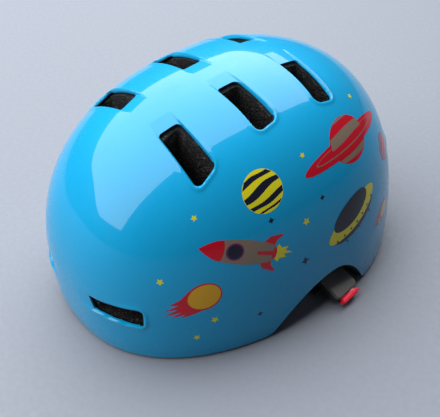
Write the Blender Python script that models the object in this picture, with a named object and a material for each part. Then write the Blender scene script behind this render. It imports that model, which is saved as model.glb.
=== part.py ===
"""Child's hard-shell cycling helmet, standing on its rim. Metres, +Z up.

The wearer faces -Y and the wearer's left side is +X. Z = 0 is the rim plane.
Every sub-part is one closed solid in its own named object.
"""
import math

import bpy
import bmesh
from mathutils import Vector

# ---- driving dimensions (metres unless the name says otherwise) ----
HALF_WIDTH = 0.0900          # shell, at its widest line
FRONT_LENGTH = 0.1410        # from the section break to the front of the shell
REAR_LENGTH = 0.1008
BREAK_Y = 0.0210             # where the front curve hands over to the rear curve
WIDEST_Z = 0.0185            # height of the widest line above the rim
CROWN_HEIGHT = 0.1350
UNDERCUT_DEPTH = 0.1240      # how slowly the wall turns in below the widest line
FRONT_SQUARENESS = 0.86      # superellipse exponents, 1 is a plain ellipse
REAR_SQUARENESS = 1.03
CROWN_SQUARENESS = 0.80
TOP_LEAN = -0.06             # the upper dome leans this far forward per metre of height

SHELL_WALL = 0.0022
GAP = 0.0003
CAVITY_HALF_WIDTH = 0.0720
CAVITY_HALF_LENGTH = 0.0920
CAVITY_TOP = 0.1130
SHELL_EDGE_ABOVE_LINER = 0.0022

ARCH_TOP_Y = 0.0100          # ear arch, two half parabolas
ARCH_HEIGHT = 0.0300
ARCH_FRONT_SPAN = 0.0480
ARCH_REAR_SPAN = 0.0300
ARCH_BLEND = 0.0040

NOTCH_HALF_WIDTH = 0.0250    # nape notch for the dial
NOTCH_HEIGHT = 0.0440
NOTCH_CORNER = 0.0140

SLOT_YS = (-0.0568, -0.0124, 0.0318)
SLOT_X = 0.0345
SLOT_LENGTH = 0.0340
SLOT_WIDTH = 0.0122
BROW_VENT_X = 0.0360
BROW_VENT_Z = 0.0370
BROW_VENT_LENGTH = 0.0330
BROW_VENT_HEIGHT = 0.0105
REAR_VENT_X = 0.0360
REAR_VENT_Z = 0.0640
LINER_VENT_INSET = 0.0012
VENT_CORNER = 0.0035

PAD_THICKNESS = 0.0050
HOOK_THICKNESS = 0.0010
HOOK_INSET = 0.0010          # clears the liner's flat facets
PADS = {
    "brow_pad": ((-128, -52), (17, 29)),
    "side_pad_left": ((-38, 18), (24, 38)),
    "side_pad_right": ((162, 218), (24, 38)),
    "crown_pad_left": ((2, 38), (60, 78)),
    "crown_pad_right": ((142, 178), (60, 78)),
    "rear_pad_left": ((52, 82), (36, 48)),
    "rear_pad_right": ((98, 128), (36, 48)),
}

RIVETS = (-36, -144)         # front band rivets, degrees round the liner

WEB_WIDTH = 0.0150           # strap webbing
WEB_THICKNESS = 0.0016
DIVIDER_CENTRE = (0.0708, 0.0100, 0.0165)
LEVER_HINGE = (0.0733, 0.0030, 0.0222)
LEVER_LENGTH = 0.0068

DIAL_Z = 0.0160
DIAL_Y = 0.0880              # rear face of the inner housing half
PINION_TEETH = 8
GEAR_MODULE = 0.0010
RACK_LENGTH = 0.0300
CRADLE_FRONT_Y = 0.0750
RACK_Y = (0.0780, 0.0805)
COVER_Y = (0.0814, 0.0836)
KNOB_Y = 0.0840
DIAL_AXIS = (0.0, KNOB_Y, DIAL_Z)
PITCH_RADIUS = GEAR_MODULE * PINION_TEETH / 2
ARM_HEIGHT = 0.0166
ARM_INSET = 0.0060
TOOTH_OUT = 0.00082          # tooth height outside the pitch line
TOOTH_IN = 0.00110           # tooth depth inside the pitch line

BUCKLE_SLOPE_DEG = 27.0
BUCKLE_YAW_DEG = 7.0
BUCKLE_END = (0.0925, 0.0190, 0.0066)   # middle of the housing's outer end
TONGUE_CENTRE = (0.0352, -0.0253, 0.0014)
TONGUE_ALONG = (0.925, -0.38, 0.0)
KEEPER_CENTRE = (0.0040, -0.01265, 0.0022)

RING_POINTS = 84
RING_ROWS = 9

COLOURS = {
    "shell_blue": ((0.03, 0.38, 0.68), 0.10, 0.0),
    "foam_black": ((0.015, 0.015, 0.017), 0.85, 0.0),
    "pad_fabric": ((0.03, 0.03, 0.035), 0.95, 0.0),
    "hook_tape": ((0.02, 0.02, 0.02), 0.9, 0.0),
    "webbing": ((0.02, 0.02, 0.022), 0.8, 0.0),
    "dark_plastic": ((0.035, 0.035, 0.038), 0.4, 0.0),
    "grey_plastic": ((0.07, 0.065, 0.065), 0.45, 0.0),
    "red_plastic": ((0.55, 0.01, 0.03), 0.35, 0.0),
    "steel": ((0.6, 0.6, 0.62), 0.3, 1.0),
}


# ---- scene and materials ----
def clear_scene():
    for thing in list(bpy.data.objects):
        bpy.data.objects.remove(thing, do_unlink=True)


def material(slot):
    found = bpy.data.materials.get(slot)
    if found:
        return found
    colour, roughness, metallic = COLOURS[slot]
    made = bpy.data.materials.new(slot)
    made.use_nodes = True
    shader = made.node_tree.nodes["Principled BSDF"]
    shader.inputs["Base Color"].default_value = (*colour, 1.0)
    shader.inputs["Roughness"].default_value = roughness
    shader.inputs["Metallic"].default_value = metallic
    return made


def make_object(name, vertices, faces, slot, smooth_angle=35.0):
    mesh = bpy.data.meshes.new(name)
    mesh.from_pydata([tuple(v) for v in vertices], [], faces)
    work = bmesh.new()
    work.from_mesh(mesh)
    bmesh.ops.remove_doubles(work, verts=work.verts, dist=1e-7)
    bmesh.ops.recalc_face_normals(work, faces=work.faces)
    work.to_mesh(mesh)
    work.free()
    mesh.materials.append(material(slot))
    mesh.shade_smooth()
    mesh.set_sharp_from_angle(angle=math.radians(smooth_angle))
    made = bpy.data.objects.new(name, mesh)
    bpy.context.collection.objects.link(made)
    return made


def set_origin(thing, point):
    """Move an object's origin onto its joint axis and keep its mesh where it is."""
    shift = Vector(point)
    for vertex in thing.data.vertices:
        vertex.co -= shift
    thing.location = shift


def cut(target, cutter):
    boolean = target.modifiers.new("cut_" + cutter.name, "BOOLEAN")
    boolean.operation = "DIFFERENCE"
    boolean.solver = "EXACT"
    boolean.object = cutter
    cutter.hide_render = True
    cutter.display_type = "WIRE"


# ---- the helmet's surfaces ----
def signed_power(value, exponent):
    return math.copysign(abs(value) ** exponent, value)


def dome_point(around, up):
    """A point on the shell's outer face. around: 0 at +X, 90 deg at +Y. up: 0 at the widest line."""
    front = math.sin(around) < 0
    length = FRONT_LENGTH if front else REAR_LENGTH
    squareness = FRONT_SQUARENESS if front else REAR_SQUARENESS
    if up < 0:
        spread = math.cos(up)
        z = WIDEST_Z + UNDERCUT_DEPTH * math.sin(up)
    else:
        spread = max(math.cos(up), 0.0) ** CROWN_SQUARENESS
        z = WIDEST_Z + (CROWN_HEIGHT - WIDEST_Z) * math.sin(up) ** CROWN_SQUARENESS
    x = HALF_WIDTH * spread * signed_power(math.cos(around), squareness)
    y = length * spread * signed_power(math.sin(around), squareness)
    return Vector((x, y + BREAK_Y + TOP_LEAN * (z - WIDEST_Z), z))


def dome_normal(around, up):
    step = 0.004
    east = dome_point(around + step, up) - dome_point(around - step, up)
    top = min(up + step, math.pi / 2 - 1e-6)
    north = dome_point(around, top) - dome_point(around, up - step)
    normal = east.cross(north)
    if normal.length < 1e-12:
        return Vector((0, 0, 1))
    return normal.normalized()


def dome_inset(around, up, depth):
    if up > math.pi / 2 - 0.02:
        return dome_point(around, up) - Vector((0, 0, depth))
    return dome_point(around, up) - dome_normal(around, up) * depth


def cavity_point(around, up, inset=0.0):
    """A point on the liner's inner face, or inset metres inside it."""
    width = CAVITY_HALF_WIDTH - inset
    length = CAVITY_HALF_LENGTH - inset
    if up < 0:
        spread = math.cos(up)
        z = WIDEST_Z + 0.20 * math.sin(up)
    else:
        spread = math.cos(up)
        z = WIDEST_Z + (CAVITY_TOP - inset - WIDEST_Z) * math.sin(up)
    x = width * spread * math.cos(around)
    y = length * spread * math.sin(around)
    return Vector((x, y + TOP_LEAN * (z - WIDEST_Z), z))


def rim_height(y):
    """Height of the liner's lower edge at a place along the helmet."""
    span = ARCH_FRONT_SPAN if y < ARCH_TOP_Y else ARCH_REAR_SPAN
    arch = ARCH_HEIGHT * (1 - ((y - ARCH_TOP_Y) / span) ** 2)
    if arch < -ARCH_BLEND:
        return 0.0
    if arch < ARCH_BLEND:
        return (arch + ARCH_BLEND) ** 2 / (4 * ARCH_BLEND)
    return arch


def lowest_up(surface, around, height):
    """The up angle at which a surface reaches a height, by halving."""
    low = -0.5
    high = 1.2
    for _ in range(40):
        middle = (low + high) / 2
        if surface(around, middle).z < height:
            low = middle
        else:
            high = middle
    return (low + high) / 2


def bowl(name, outer, inner, edge_raise, slot):
    """A closed dome wall between two surfaces, open at the bottom."""
    vertices = []
    faces = []
    count = RING_POINTS
    rows = RING_ROWS
    for surface in (outer, inner):
        for i in range(count):
            around = 2 * math.pi * i / count
            edge = rim_height(surface(around, 0.0).y) + edge_raise
            start = lowest_up(surface, around, edge)
            for j in range(rows):
                share = j / rows
                up = start + (math.pi / 2 - start) * (1 - (1 - share) ** 1.25)
                point = surface(around, up)
                if j == 0:
                    point.z = edge
                vertices.append(point)
        vertices.append(surface(0.0, math.pi / 2))
    side = count * rows + 1
    for face_set in (0, 1):
        base = face_set * side
        for i in range(count):
            k = (i + 1) % count
            for j in range(rows - 1):
                a = base + i * rows + j
                b = base + k * rows + j
                faces.append((a, b, b + 1, a + 1))
            faces.append((base + i * rows + rows - 1, base + k * rows + rows - 1, base + side - 1))
    for i in range(count):
        k = (i + 1) % count
        faces.append((i * rows, side + i * rows, side + k * rows, k * rows))
    return make_object(name, vertices, faces, slot)


def oval_outline(length, width, corner, steps=4):
    """Points of a rounded rectangle, anticlockwise, centred on zero."""
    points = []
    for quadrant in range(4):
        sx = 1 if quadrant in (0, 3) else -1
        sy = 1 if quadrant in (0, 1) else -1
        for i in range(steps + 1):
            angle = math.pi / 2 * (quadrant + i / steps)
            points.append((
                sx * (length / 2 - corner) + corner * math.cos(angle),
                sy * (width / 2 - corner) + corner * math.sin(angle),
            ))
    return points


def prism(name, outline, centre, along, across, depth_out, depth_in, slot):
    """Extrude a flat outline both ways along the normal of its plane."""
    along = Vector(along).normalized()
    normal = along.cross(Vector(across)).normalized()
    across = normal.cross(along).normalized()
    centre = Vector(centre)
    count = len(outline)
    vertices = []
    for depth in (depth_out, -depth_in):
        for u, v in outline:
            vertices.append(centre + along * u + across * v + normal * depth)
    faces = [tuple(range(count)), tuple(range(2 * count - 1, count - 1, -1))]
    for i in range(count):
        k = (i + 1) % count
        faces.append((i, i + count, k + count, k))
    return make_object(name, vertices, faces, slot)


def dome_angles(x, y=None, z=None):
    """Find the around and up angles of the dome point with this x and y, or x and z."""
    best = None
    around_span = (-math.pi, math.pi)
    up_span = (-0.1, 1.5)
    for _ in range(7):
        best = None
        for i in range(41):
            around = around_span[0] + (around_span[1] - around_span[0]) * i / 40
            for j in range(21):
                up = up_span[0] + (up_span[1] - up_span[0]) * j / 20
                point = dome_point(around, up)
                if z is None:
                    miss = (point.x - x) ** 2 + (point.y - y) ** 2
                else:
                    facing = 0 if point.y * y > 0 else 1
                    miss = (point.x - x) ** 2 + (point.z - z) ** 2 + facing
                if best is None or miss < best[0]:
                    best = (miss, around, up)
        around_size = (around_span[1] - around_span[0]) / 8
        up_size = (up_span[1] - up_span[0]) / 6
        around_span = (best[1] - around_size, best[1] + around_size)
        up_span = (max(best[2] - up_size, -0.1), min(best[2] + up_size, 1.5))
    return best[1], best[2]


def vent_places():
    """Centre, long direction and normal of each vent, with its length and width."""
    places = []
    for side in (1, -1):
        for y in SLOT_YS:
            around, up = dome_angles(side * SLOT_X, y)
            places.append((around, up, Vector((side, 0, 0)), SLOT_LENGTH, SLOT_WIDTH))
        around, up = dome_angles(side * BROW_VENT_X, -1, BROW_VENT_Z)
        places.append((around, up, Vector((side, 0, 0)), BROW_VENT_LENGTH, BROW_VENT_HEIGHT))
        around, up = dome_angles(side * REAR_VENT_X, 1, REAR_VENT_Z)
        places.append((around, up, Vector((side, 0, 0)), BROW_VENT_LENGTH, BROW_VENT_HEIGHT))
    return places


def cut_shell_vents(shell):
    for number, (around, up, side_way, length, width) in enumerate(vent_places()):
        centre = dome_point(around, up)
        normal = dome_normal(around, up)
        along = (side_way - normal * side_way.dot(normal)).normalized()
        across = normal.cross(along)
        outline = oval_outline(length, width, VENT_CORNER)
        cut(shell, prism(f"cutter_shell_{number}", outline, centre, along, across, 0.012, 0.012, "steel"))


def cut_liner_vents(liner):
    """The liner's vents run straight down from the top slots and straight back from the rest."""
    for number, (around, up, side_way, length, width) in enumerate(vent_places()):
        centre = dome_point(around, up)
        normal = dome_normal(around, up)
        along = (side_way - normal * side_way.dot(normal)).normalized()
        is_top = abs(normal.z) > abs(normal.y)
        across = Vector((0, 1, 0)) if is_top else Vector((0, 0, 1))
        run = length * abs(along.x) - 2 * LINER_VENT_INSET
        outline = oval_outline(run, width - 2 * LINER_VENT_INSET, VENT_CORNER)
        cutter = prism(f"cutter_liner_{number}", outline, centre, (1, 0, 0), across, 0.05, 0.05, "steel")
        cut(liner, cutter)


def cut_nape_notch(target, grow, tag):
    half = NOTCH_HALF_WIDTH + grow
    top = NOTCH_HEIGHT + grow
    outline = [(-half, -0.02), (half, -0.02)]
    for i in range(7):
        angle = math.pi / 2 * i / 6
        outline.append((half - NOTCH_CORNER + NOTCH_CORNER * math.cos(angle),
                        top - NOTCH_CORNER + NOTCH_CORNER * math.sin(angle)))
    for i in range(7):
        angle = math.pi / 2 * (1 + i / 6)
        outline.append((-half + NOTCH_CORNER + NOTCH_CORNER * math.cos(angle),
                        top - NOTCH_CORNER + NOTCH_CORNER * math.sin(angle)))
    cutter = prism(f"cutter_notch_{tag}", outline, (0, 0.10, 0), (1, 0, 0), (0, 0, 1), 0.05, 0.05, "steel")
    cut(target, cutter)


def shell_and_liner():
    def shell_inner(around, up):
        return dome_inset(around, up, SHELL_WALL)

    def liner_outer(around, up):
        return dome_inset(around, up, SHELL_WALL + GAP)

    shell = bowl("outer_shell", dome_point, shell_inner, SHELL_EDGE_ABOVE_LINER, "shell_blue")
    cut_shell_vents(shell)
    cut_nape_notch(shell, 0.0010, "shell")
    liner = bowl("foam_liner", liner_outer, cavity_point, 0.0, "foam_black")
    cut_liner_vents(liner)
    cut_nape_notch(liner, 0.0, "liner")


# ---- pads on the liner's inner face ----
def patch(name, around_range, up_range, outer_inset, thickness, slot, columns=8, rows=3, edge_pull=0.0):
    """A closed pad that follows the liner's inner face."""
    vertices = []
    faces = []
    width = columns + 1
    for depth in (outer_inset, outer_inset + thickness):
        for j in range(rows + 1):
            for i in range(width):
                around = math.radians(around_range[0] + (around_range[1] - around_range[0]) * i / columns)
                up = math.radians(up_range[0] + (up_range[1] - up_range[0]) * j / rows)
                edge = i in (0, columns) or j in (0, rows)
                pull = edge_pull if edge and depth > outer_inset else 0.0
                vertices.append(cavity_point(around, up, depth - pull))
    layer = width * (rows + 1)
    for base in (0, layer):
        for j in range(rows):
            for i in range(columns):
                a = base + j * width + i
                faces.append((a, a + 1, a + 1 + width, a + width))
    border = [i for i in range(width)]
    border += [j * width + columns for j in range(1, rows + 1)]
    border += [rows * width + i for i in range(columns - 1, -1, -1)]
    border += [j * width for j in range(rows - 1, 0, -1)]
    for i, a in enumerate(border):
        b = border[(i + 1) % len(border)]
        faces.append((a, b, b + layer, a + layer))
    return make_object(name, vertices, faces, slot, 60.0)


def comfort_pads():
    for name, (arounds, ups) in PADS.items():
        around_mid = (arounds[0] + arounds[1]) / 2
        around_half = (arounds[1] - arounds[0]) * 0.3
        up_mid = (ups[0] + ups[1]) / 2
        up_half = (ups[1] - ups[0]) * 0.26
        patch(name.replace("pad", "hook_tape"), (around_mid - around_half, around_mid + around_half),
              (up_mid - up_half, up_mid + up_half), HOOK_INSET, HOOK_THICKNESS, "hook_tape", 6, 1)
        pad_inset = HOOK_INSET + HOOK_THICKNESS + 0.0005
        patch(name, arounds, ups, pad_inset, PAD_THICKNESS, "pad_fabric", 10, 3, 0.0015)


# ---- small building blocks ----
def box(name, low, high, slot, bevel=0.0006):
    x0, y0, z0 = low
    x1, y1, z1 = high
    corners = [(x, y, z) for x in (x0, x1) for y in (y0, y1) for z in (z0, z1)]
    faces = [(0, 1, 3, 2), (4, 6, 7, 5), (0, 4, 5, 1), (2, 3, 7, 6), (0, 2, 6, 4), (1, 5, 7, 3)]
    made = make_object(name, corners, faces, slot)
    if bevel:
        rounding = made.modifiers.new("rounding", "BEVEL")
        rounding.width = bevel
        rounding.segments = 2
    return made


def turned(name, profile, centre, axis, slot, segments=32):
    """Turn a closed profile of (radius, height) points about an axis through centre."""
    axis = Vector(axis).normalized()
    side = axis.orthogonal().normalized()
    other = axis.cross(side)
    centre = Vector(centre)
    vertices = []
    faces = []
    rings = []
    for radius, height in profile:
        if radius < 1e-9:
            rings.append([len(vertices)] * segments)
            vertices.append(centre + axis * height)
            continue
        rings.append(list(range(len(vertices), len(vertices) + segments)))
        for i in range(segments):
            angle = 2 * math.pi * i / segments
            spoke = side * math.cos(angle) + other * math.sin(angle)
            vertices.append(centre + axis * height + spoke * radius)
    pairs = list(zip(rings, rings[1:]))
    if profile[0][0] > 1e-9:
        pairs.append((rings[-1], rings[0]))
    for low, high in pairs:
        for i in range(segments):
            k = (i + 1) % segments
            corners = []
            for corner in (low[i], low[k], high[k], high[i]):
                if corner not in corners:
                    corners.append(corner)
            if len(corners) > 2:
                faces.append(tuple(corners))
    return make_object(name, vertices, faces, slot)


def smooth_route(points, per_span=5):
    """Read points from a smooth curve through the given ones (Catmull-Rom)."""
    points = [Vector(p) for p in points]
    padded = [2 * points[0] - points[1]] + points + [2 * points[-1] - points[-2]]
    route = []
    for i in range(1, len(padded) - 2):
        p0, p1, p2, p3 = padded[i - 1:i + 3]
        for j in range(per_span):
            t = j / per_span
            route.append(0.5 * (2 * p1 + (p2 - p0) * t + (2 * p0 - 5 * p1 + 4 * p2 - p3) * t * t
                                + (3 * p1 - p0 - 3 * p2 + p3) * t ** 3))
    route.append(points[-1])
    return route


def ribbon(name, stations, slot="webbing", width=WEB_WIDTH, thickness=WEB_THICKNESS, per_span=5):
    """Flat webbing. Each station is a centre and the direction that the width lies in."""
    route = smooth_route([s[0] for s in stations], per_span)
    widths = smooth_route([s[1] for s in stations], per_span)
    vertices = []
    for i, centre in enumerate(route):
        ahead = route[min(i + 1, len(route) - 1)] - route[max(i - 1, 0)]
        ahead.normalize()
        across = widths[i] - ahead * widths[i].dot(ahead)
        across.normalize()
        up = ahead.cross(across)
        for u, v in ((-1, -1), (1, -1), (1, 1), (-1, 1)):
            vertices.append(centre + across * (u * width / 2) + up * (v * thickness / 2))
    faces = [(3, 2, 1, 0)]
    count = len(route)
    for i in range(count - 1):
        for k in range(4):
            a = i * 4 + k
            b = i * 4 + (k + 1) % 4
            faces.append((a, b, b + 4, a + 4))
    last = (count - 1) * 4
    faces.append((last, last + 1, last + 2, last + 3))
    return make_object(name, vertices, faces, slot, 40.0)


# ---- fit system: front band, nape cradle, dial, rack and pinion ----


def rack_outline(side):
    """Rack bar in X and Z with teeth towards the pinion. side: +1 wearer's left, above the pinion."""
    pitch = math.pi * GEAR_MODULE
    line = DIAL_Z + side * PITCH_RADIUS
    tip = line - side * TOOTH_OUT
    root = line + side * TOOTH_IN
    back = line + side * 0.0042
    start = -0.0085
    end = 0.0318
    outline = [(side * start, back), (side * start, root)]
    for tooth in range(-2, 5):
        # a tooth space of the pinion stands straight above and below its axis at rest
        middle = tooth * pitch
        for offset, height in ((-0.00082, root), (-0.00038, tip), (0.00038, tip), (0.00082, root)):
            outline.append((side * (middle + offset), height))
    outline += [(side * end, root), (side * end, back)]
    return outline


def adjuster_arm(side):
    name = "adjuster_arm_left" if side > 0 else "adjuster_arm_right"
    middle = (RACK_Y[0] + RACK_Y[1]) / 2
    half = (RACK_Y[1] - RACK_Y[0]) / 2
    outline = rack_outline(side)
    arm = prism(name, outline, (0, middle, 0), (1, 0, 0), (0, 0, 1), half, half, "dark_plastic")
    stations = [(Vector((side * 0.0300, middle - 0.0004, DIAL_Z)), Vector((0, 0, 1)))]
    for degrees in (56, 49, 43, 38):
        point = cavity_point(math.radians(degrees), 0.0, ARM_INSET)
        point.x *= side
        point.z = DIAL_Z
        stations.append((point, Vector((0, 0, 1))))
    band = ribbon(name + "_band", stations, "dark_plastic", ARM_HEIGHT, 0.0018, 3)
    join = arm.modifiers.new("band", "BOOLEAN")
    join.operation = "UNION"
    join.solver = "EXACT"
    join.object = band
    band.hide_render = True
    band.display_type = "WIRE"


def pinion_outline():
    points = []
    step = 2 * math.pi / PINION_TEETH
    outer = PITCH_RADIUS + TOOTH_OUT
    root = PITCH_RADIUS - TOOTH_IN
    for tooth in range(PINION_TEETH):
        # half a step round, so that tooth spaces face the racks
        middle = step * (tooth + 0.5) + math.pi / 2
        for offset, radius in ((-0.26, root), (-0.075, outer), (0.075, outer), (0.26, root)):
            angle = middle + offset
            points.append((radius * math.cos(angle), radius * math.sin(angle)))
    return points


def dial():
    axis = (0, 1, 0)
    width = (RACK_Y[1] - RACK_Y[0]) / 2
    gear_centre = (0, (RACK_Y[0] + RACK_Y[1]) / 2, DIAL_Z)
    gear = prism("drive_gear", pinion_outline(), gear_centre, (1, 0, 0), (0, 0, 1), width, width,
                 "dark_plastic")
    hub_profile = [(0.0001, 0.0), (0.0026, 0.0), (0.0026, 0.0052), (0.0001, 0.0052)]
    hub = turned("drive_gear_hub", hub_profile, (0, RACK_Y[0] + 0.0004, DIAL_Z), axis, "dark_plastic", 24)
    join = gear.modifiers.new("hub", "BOOLEAN")
    join.operation = "UNION"
    join.solver = "EXACT"
    join.object = hub
    hub.hide_render = True
    hub.display_type = "WIRE"
    bore = turned("cutter_gear_bore", [(0, -0.01), (0.0017, -0.01), (0.0017, 0.02), (0, 0.02)],
                  (0, RACK_Y[0], DIAL_Z), axis, "steel", 20)
    cut(gear, bore)
    set_origin(gear, DIAL_AXIS)
    knob_profile = [
        (0.0018, 0.0), (0.0046, 0.0), (0.0046, 0.0030), (0.0112, 0.0030), (0.0112, 0.0), (0.0130, 0.0),
        (0.0138, 0.0010), (0.0138, 0.0078), (0.0126, 0.0092), (0.0042, 0.0092), (0.0042, 0.0072),
        (0.0018, 0.0072),
    ]
    knob = turned("dial_knob", knob_profile, DIAL_AXIS, axis, "dark_plastic", 36)
    set_origin(knob, DIAL_AXIS)
    screw_profile = [(0, 0.0), (0.0014, 0.0), (0.0014, 0.0137), (0.0037, 0.0137), (0.0037, 0.0152),
                     (0, 0.0152)]
    screw = turned("dial_screw", screw_profile, (0, RACK_Y[0] - 0.0001, DIAL_Z), axis, "steel", 20)
    set_origin(screw, DIAL_AXIS)
    spring_outline = []
    for i in range(25):
        angle = math.radians(-110 + 220 * i / 24)
        spring_outline.append((0.0084 * math.cos(angle), 0.0084 * math.sin(angle)))
    for i in range(24, -1, -1):
        angle = math.radians(-110 + 220 * i / 24)
        spring_outline.append((0.0078 * math.cos(angle), 0.0078 * math.sin(angle)))
    prism("detent_spring", spring_outline, (0, KNOB_Y + 0.0011, DIAL_Z), (1, 0, 0), (0, 0, 1),
          0.0011, 0.0011, "steel")


def cradle():
    base = box("cradle_base", (-0.022, CRADLE_FRONT_Y, 0.0035), (0.022, COVER_Y[0] - GAP, 0.0285),
               "dark_plastic", 0)
    channel = box("cutter_channel", (-0.03, RACK_Y[0] - GAP, 0.0068), (0.03, 0.09, 0.0252), "steel", 0)
    cut(base, channel)
    screw_hole = turned("cutter_base_hole", [(0, -0.01), (0.0017, -0.01), (0.0017, 0.02), (0, 0.02)],
                        (0, CRADLE_FRONT_Y, DIAL_Z), (0, 1, 0), "steel", 20)
    cut(base, screw_hole)
    cover = box("cradle_cover", (-0.022, COVER_Y[0], 0.0035), (0.022, COVER_Y[1], 0.0285), "dark_plastic", 0)
    hub_hole = turned("cutter_cover_hole", [(0, -0.01), (0.0030, -0.01), (0.0030, 0.02), (0, 0.02)],
                      (0, COVER_Y[0], DIAL_Z), (0, 1, 0), "steel", 24)
    cut(cover, hub_hole)
    pad = box("nape_pad", (-0.020, 0.0675, 0.0045), (0.020, CRADLE_FRONT_Y - GAP, 0.0275),
              "pad_fabric", 0.0015)
    groove = box("cutter_pad_groove", (-0.0068, 0.0715, -0.01), (0.0068, 0.09, 0.05), "steel", 0)
    cut(pad, groove)
    ribbon("cradle_hanger", [
        (Vector((0, 0.0732, 0.0030)), Vector((1, 0, 0))),
        (Vector((0, 0.0732, 0.0300)), Vector((1, 0, 0))),
        (Vector((0, 0.0740, 0.0440)), Vector((1, 0, 0))),
        (Vector((0, 0.0762, 0.0600)), Vector((1, 0, 0))),
    ], "dark_plastic", 0.012, 0.0016, 4)


def front_band():
    band = patch("front_band", (-156, -24), (-1.8, 1.8), 0.0024, 0.0016, "dark_plastic", 22, 1)
    liner = bpy.data.objects["foam_liner"]
    for number, degrees in enumerate(RIVETS):
        around = math.radians(degrees)
        face = cavity_point(around, 0.0)
        flattening = (CAVITY_HALF_WIDTH / CAVITY_HALF_LENGTH) ** 2
        outward = Vector((face.x, face.y * flattening, 0)).normalized()
        hole = turned(f"cutter_rivet_{number}", [(0, -0.01), (0.0016, -0.01), (0.0016, 0.008), (0, 0.008)],
                      face, outward, "steel", 16)
        cut(band, hole)
        cut(liner, hole)
        name = "band_rivet_left" if degrees > -90 else "band_rivet_right"
        profile = [(0, -0.0056), (0.0032, -0.0056), (0.0032, -0.0043), (0.0013, -0.0043), (0.0013, 0.0074),
                   (0, 0.0074)]
        turned(name, profile, face, outward, "dark_plastic", 16)


# ---- harness ----
def mirrored(stations, side):
    turned_over = []
    for centre, width_way in stations:
        turned_over.append((Vector((side * centre[0], centre[1], centre[2])),
                            Vector((side * width_way[0], width_way[1], width_way[2]))))
    return turned_over


def wall_station(degrees, height, inset, rise):
    """Webbing just inside the liner: its width lies flat on the wall, rising by an angle."""
    around = math.radians(degrees)
    up = math.asin((height - WIDEST_Z) / (CAVITY_TOP - WIDEST_Z))
    point = cavity_point(around, up, inset)
    level = (cavity_point(around + 0.02, up, inset) - cavity_point(around - 0.02, up, inset)).normalized()
    steep = (cavity_point(around, up + 0.02, inset) - cavity_point(around, up - 0.02, inset)).normalized()
    width_way = level * math.cos(math.radians(rise)) + steep * math.sin(math.radians(rise))
    return (tuple(point), tuple(width_way))


FRONT_STRAP = [
    wall_station(-18, 0.0360, 0.0020, 35),
    wall_station(-14, 0.0310, 0.0022, 45),
    wall_station(-10, 0.0260, 0.0026, 60),
    wall_station(-7, 0.0205, 0.0022, 75),
    ((0.0708, -0.0060, 0.0182), (0.0, 0.18, 0.98)),
]
REAR_STRAP = [
    wall_station(29, 0.0350, 0.0026, 135),
    wall_station(25, 0.0300, 0.0029, 125),
    wall_station(21, 0.0250, 0.0030, 115),
    wall_station(18.5, 0.0205, 0.0026, 100),
]
CHIN_STRAP_LEFT = [
    ((0.0700, 0.0125, 0.0088), (0.0, 1.0, 0.0)),
    ((0.0702, 0.0130, 0.0056), (0.0, 1.0, 0.0)),
    ((0.0714, 0.0134, 0.0030), (0.0, 1.0, 0.0)),
    ((0.0740, 0.0138, 0.0018), (0.0, 1.0, 0.0)),
    ((0.0780, 0.0140, 0.0018), (0.0, 1.0, 0.0)),
]
CHIN_STRAP_RIGHT = [
    ((-0.0700, 0.0112, 0.0078), (0.0, 1.0, 0.0)),
    ((-0.0690, 0.0116, 0.0052), (0.0, 1.0, 0.0)),
    ((-0.0660, 0.0118, 0.0030), (0.05, 1.0, 0.0)),
    ((-0.0580, 0.0105, 0.0018), (0.12, 1.0, 0.0)),
    ((-0.0400, 0.0050, 0.0014), (0.25, 1.0, 0.0)),
    ((-0.0150, -0.0040, 0.0014), (0.35, 0.95, 0.0)),
    ((0.0100, -0.0150, 0.0014), (0.38, 0.93, 0.0)),
    ((0.0250, -0.0210, 0.0014), (0.37, 0.93, 0.0)),
]
STRAP_TAIL_RIGHT = [
    ((-0.0733, 0.0120, 0.0100), (0.0, 1.0, 0.0)),
    ((-0.0752, 0.0125, 0.0062), (0.0, 1.0, 0.0)),
    ((-0.0800, 0.0130, 0.0038), (0.0, 1.0, 0.0)),
    ((-0.0870, 0.0135, 0.0026), (0.0, 1.0, 0.0)),
    ((-0.0955, 0.0140, 0.0018), (0.0, 1.0, 0.0)),
]


def harness_side(side):
    tag = "left" if side > 0 else "right"
    for place, arounds in (("front", (-27, -13)), ("rear", (25, 39))):
        if side < 0:
            arounds = (180 - arounds[1], 180 - arounds[0])
        patch(f"strap_anchor_{place}_{tag}", arounds, (16.0, 19.5), 0.0008, 0.0018, "dark_plastic", 3, 1)
    ribbon(f"strap_front_{tag}", mirrored(FRONT_STRAP, side))
    ribbon(f"strap_rear_{tag}", mirrored(REAR_STRAP, side))
    # the divider plate stands on edge just inside the arch
    divider = box(f"strap_divider_{tag}", (-0.0012, -0.0110, -0.0065), (0.0012, 0.0110, 0.0065),
                  "dark_plastic", 0.0005)
    divider.location = (side * DIVIDER_CENTRE[0], DIVIDER_CENTRE[1], DIVIDER_CENTRE[2])
    lever = box(f"divider_lever_{tag}", (-0.0008, -0.0034, -LEVER_LENGTH), (0.0008, 0.0034, 0.0),
                "dark_plastic", 0.0003)
    lever.location = (side * LEVER_HINGE[0], LEVER_HINGE[1], LEVER_HINGE[2])


# ---- push-button buckle ----
def buckle_frame():
    slope = math.radians(BUCKLE_SLOPE_DEG)
    yaw = math.radians(BUCKLE_YAW_DEG)
    level = math.cos(slope)
    out = Vector((level * math.cos(yaw), level * math.sin(yaw), -math.sin(slope)))
    across = Vector((-math.sin(yaw), math.cos(yaw), 0))
    return out, across, out.cross(across)


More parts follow.
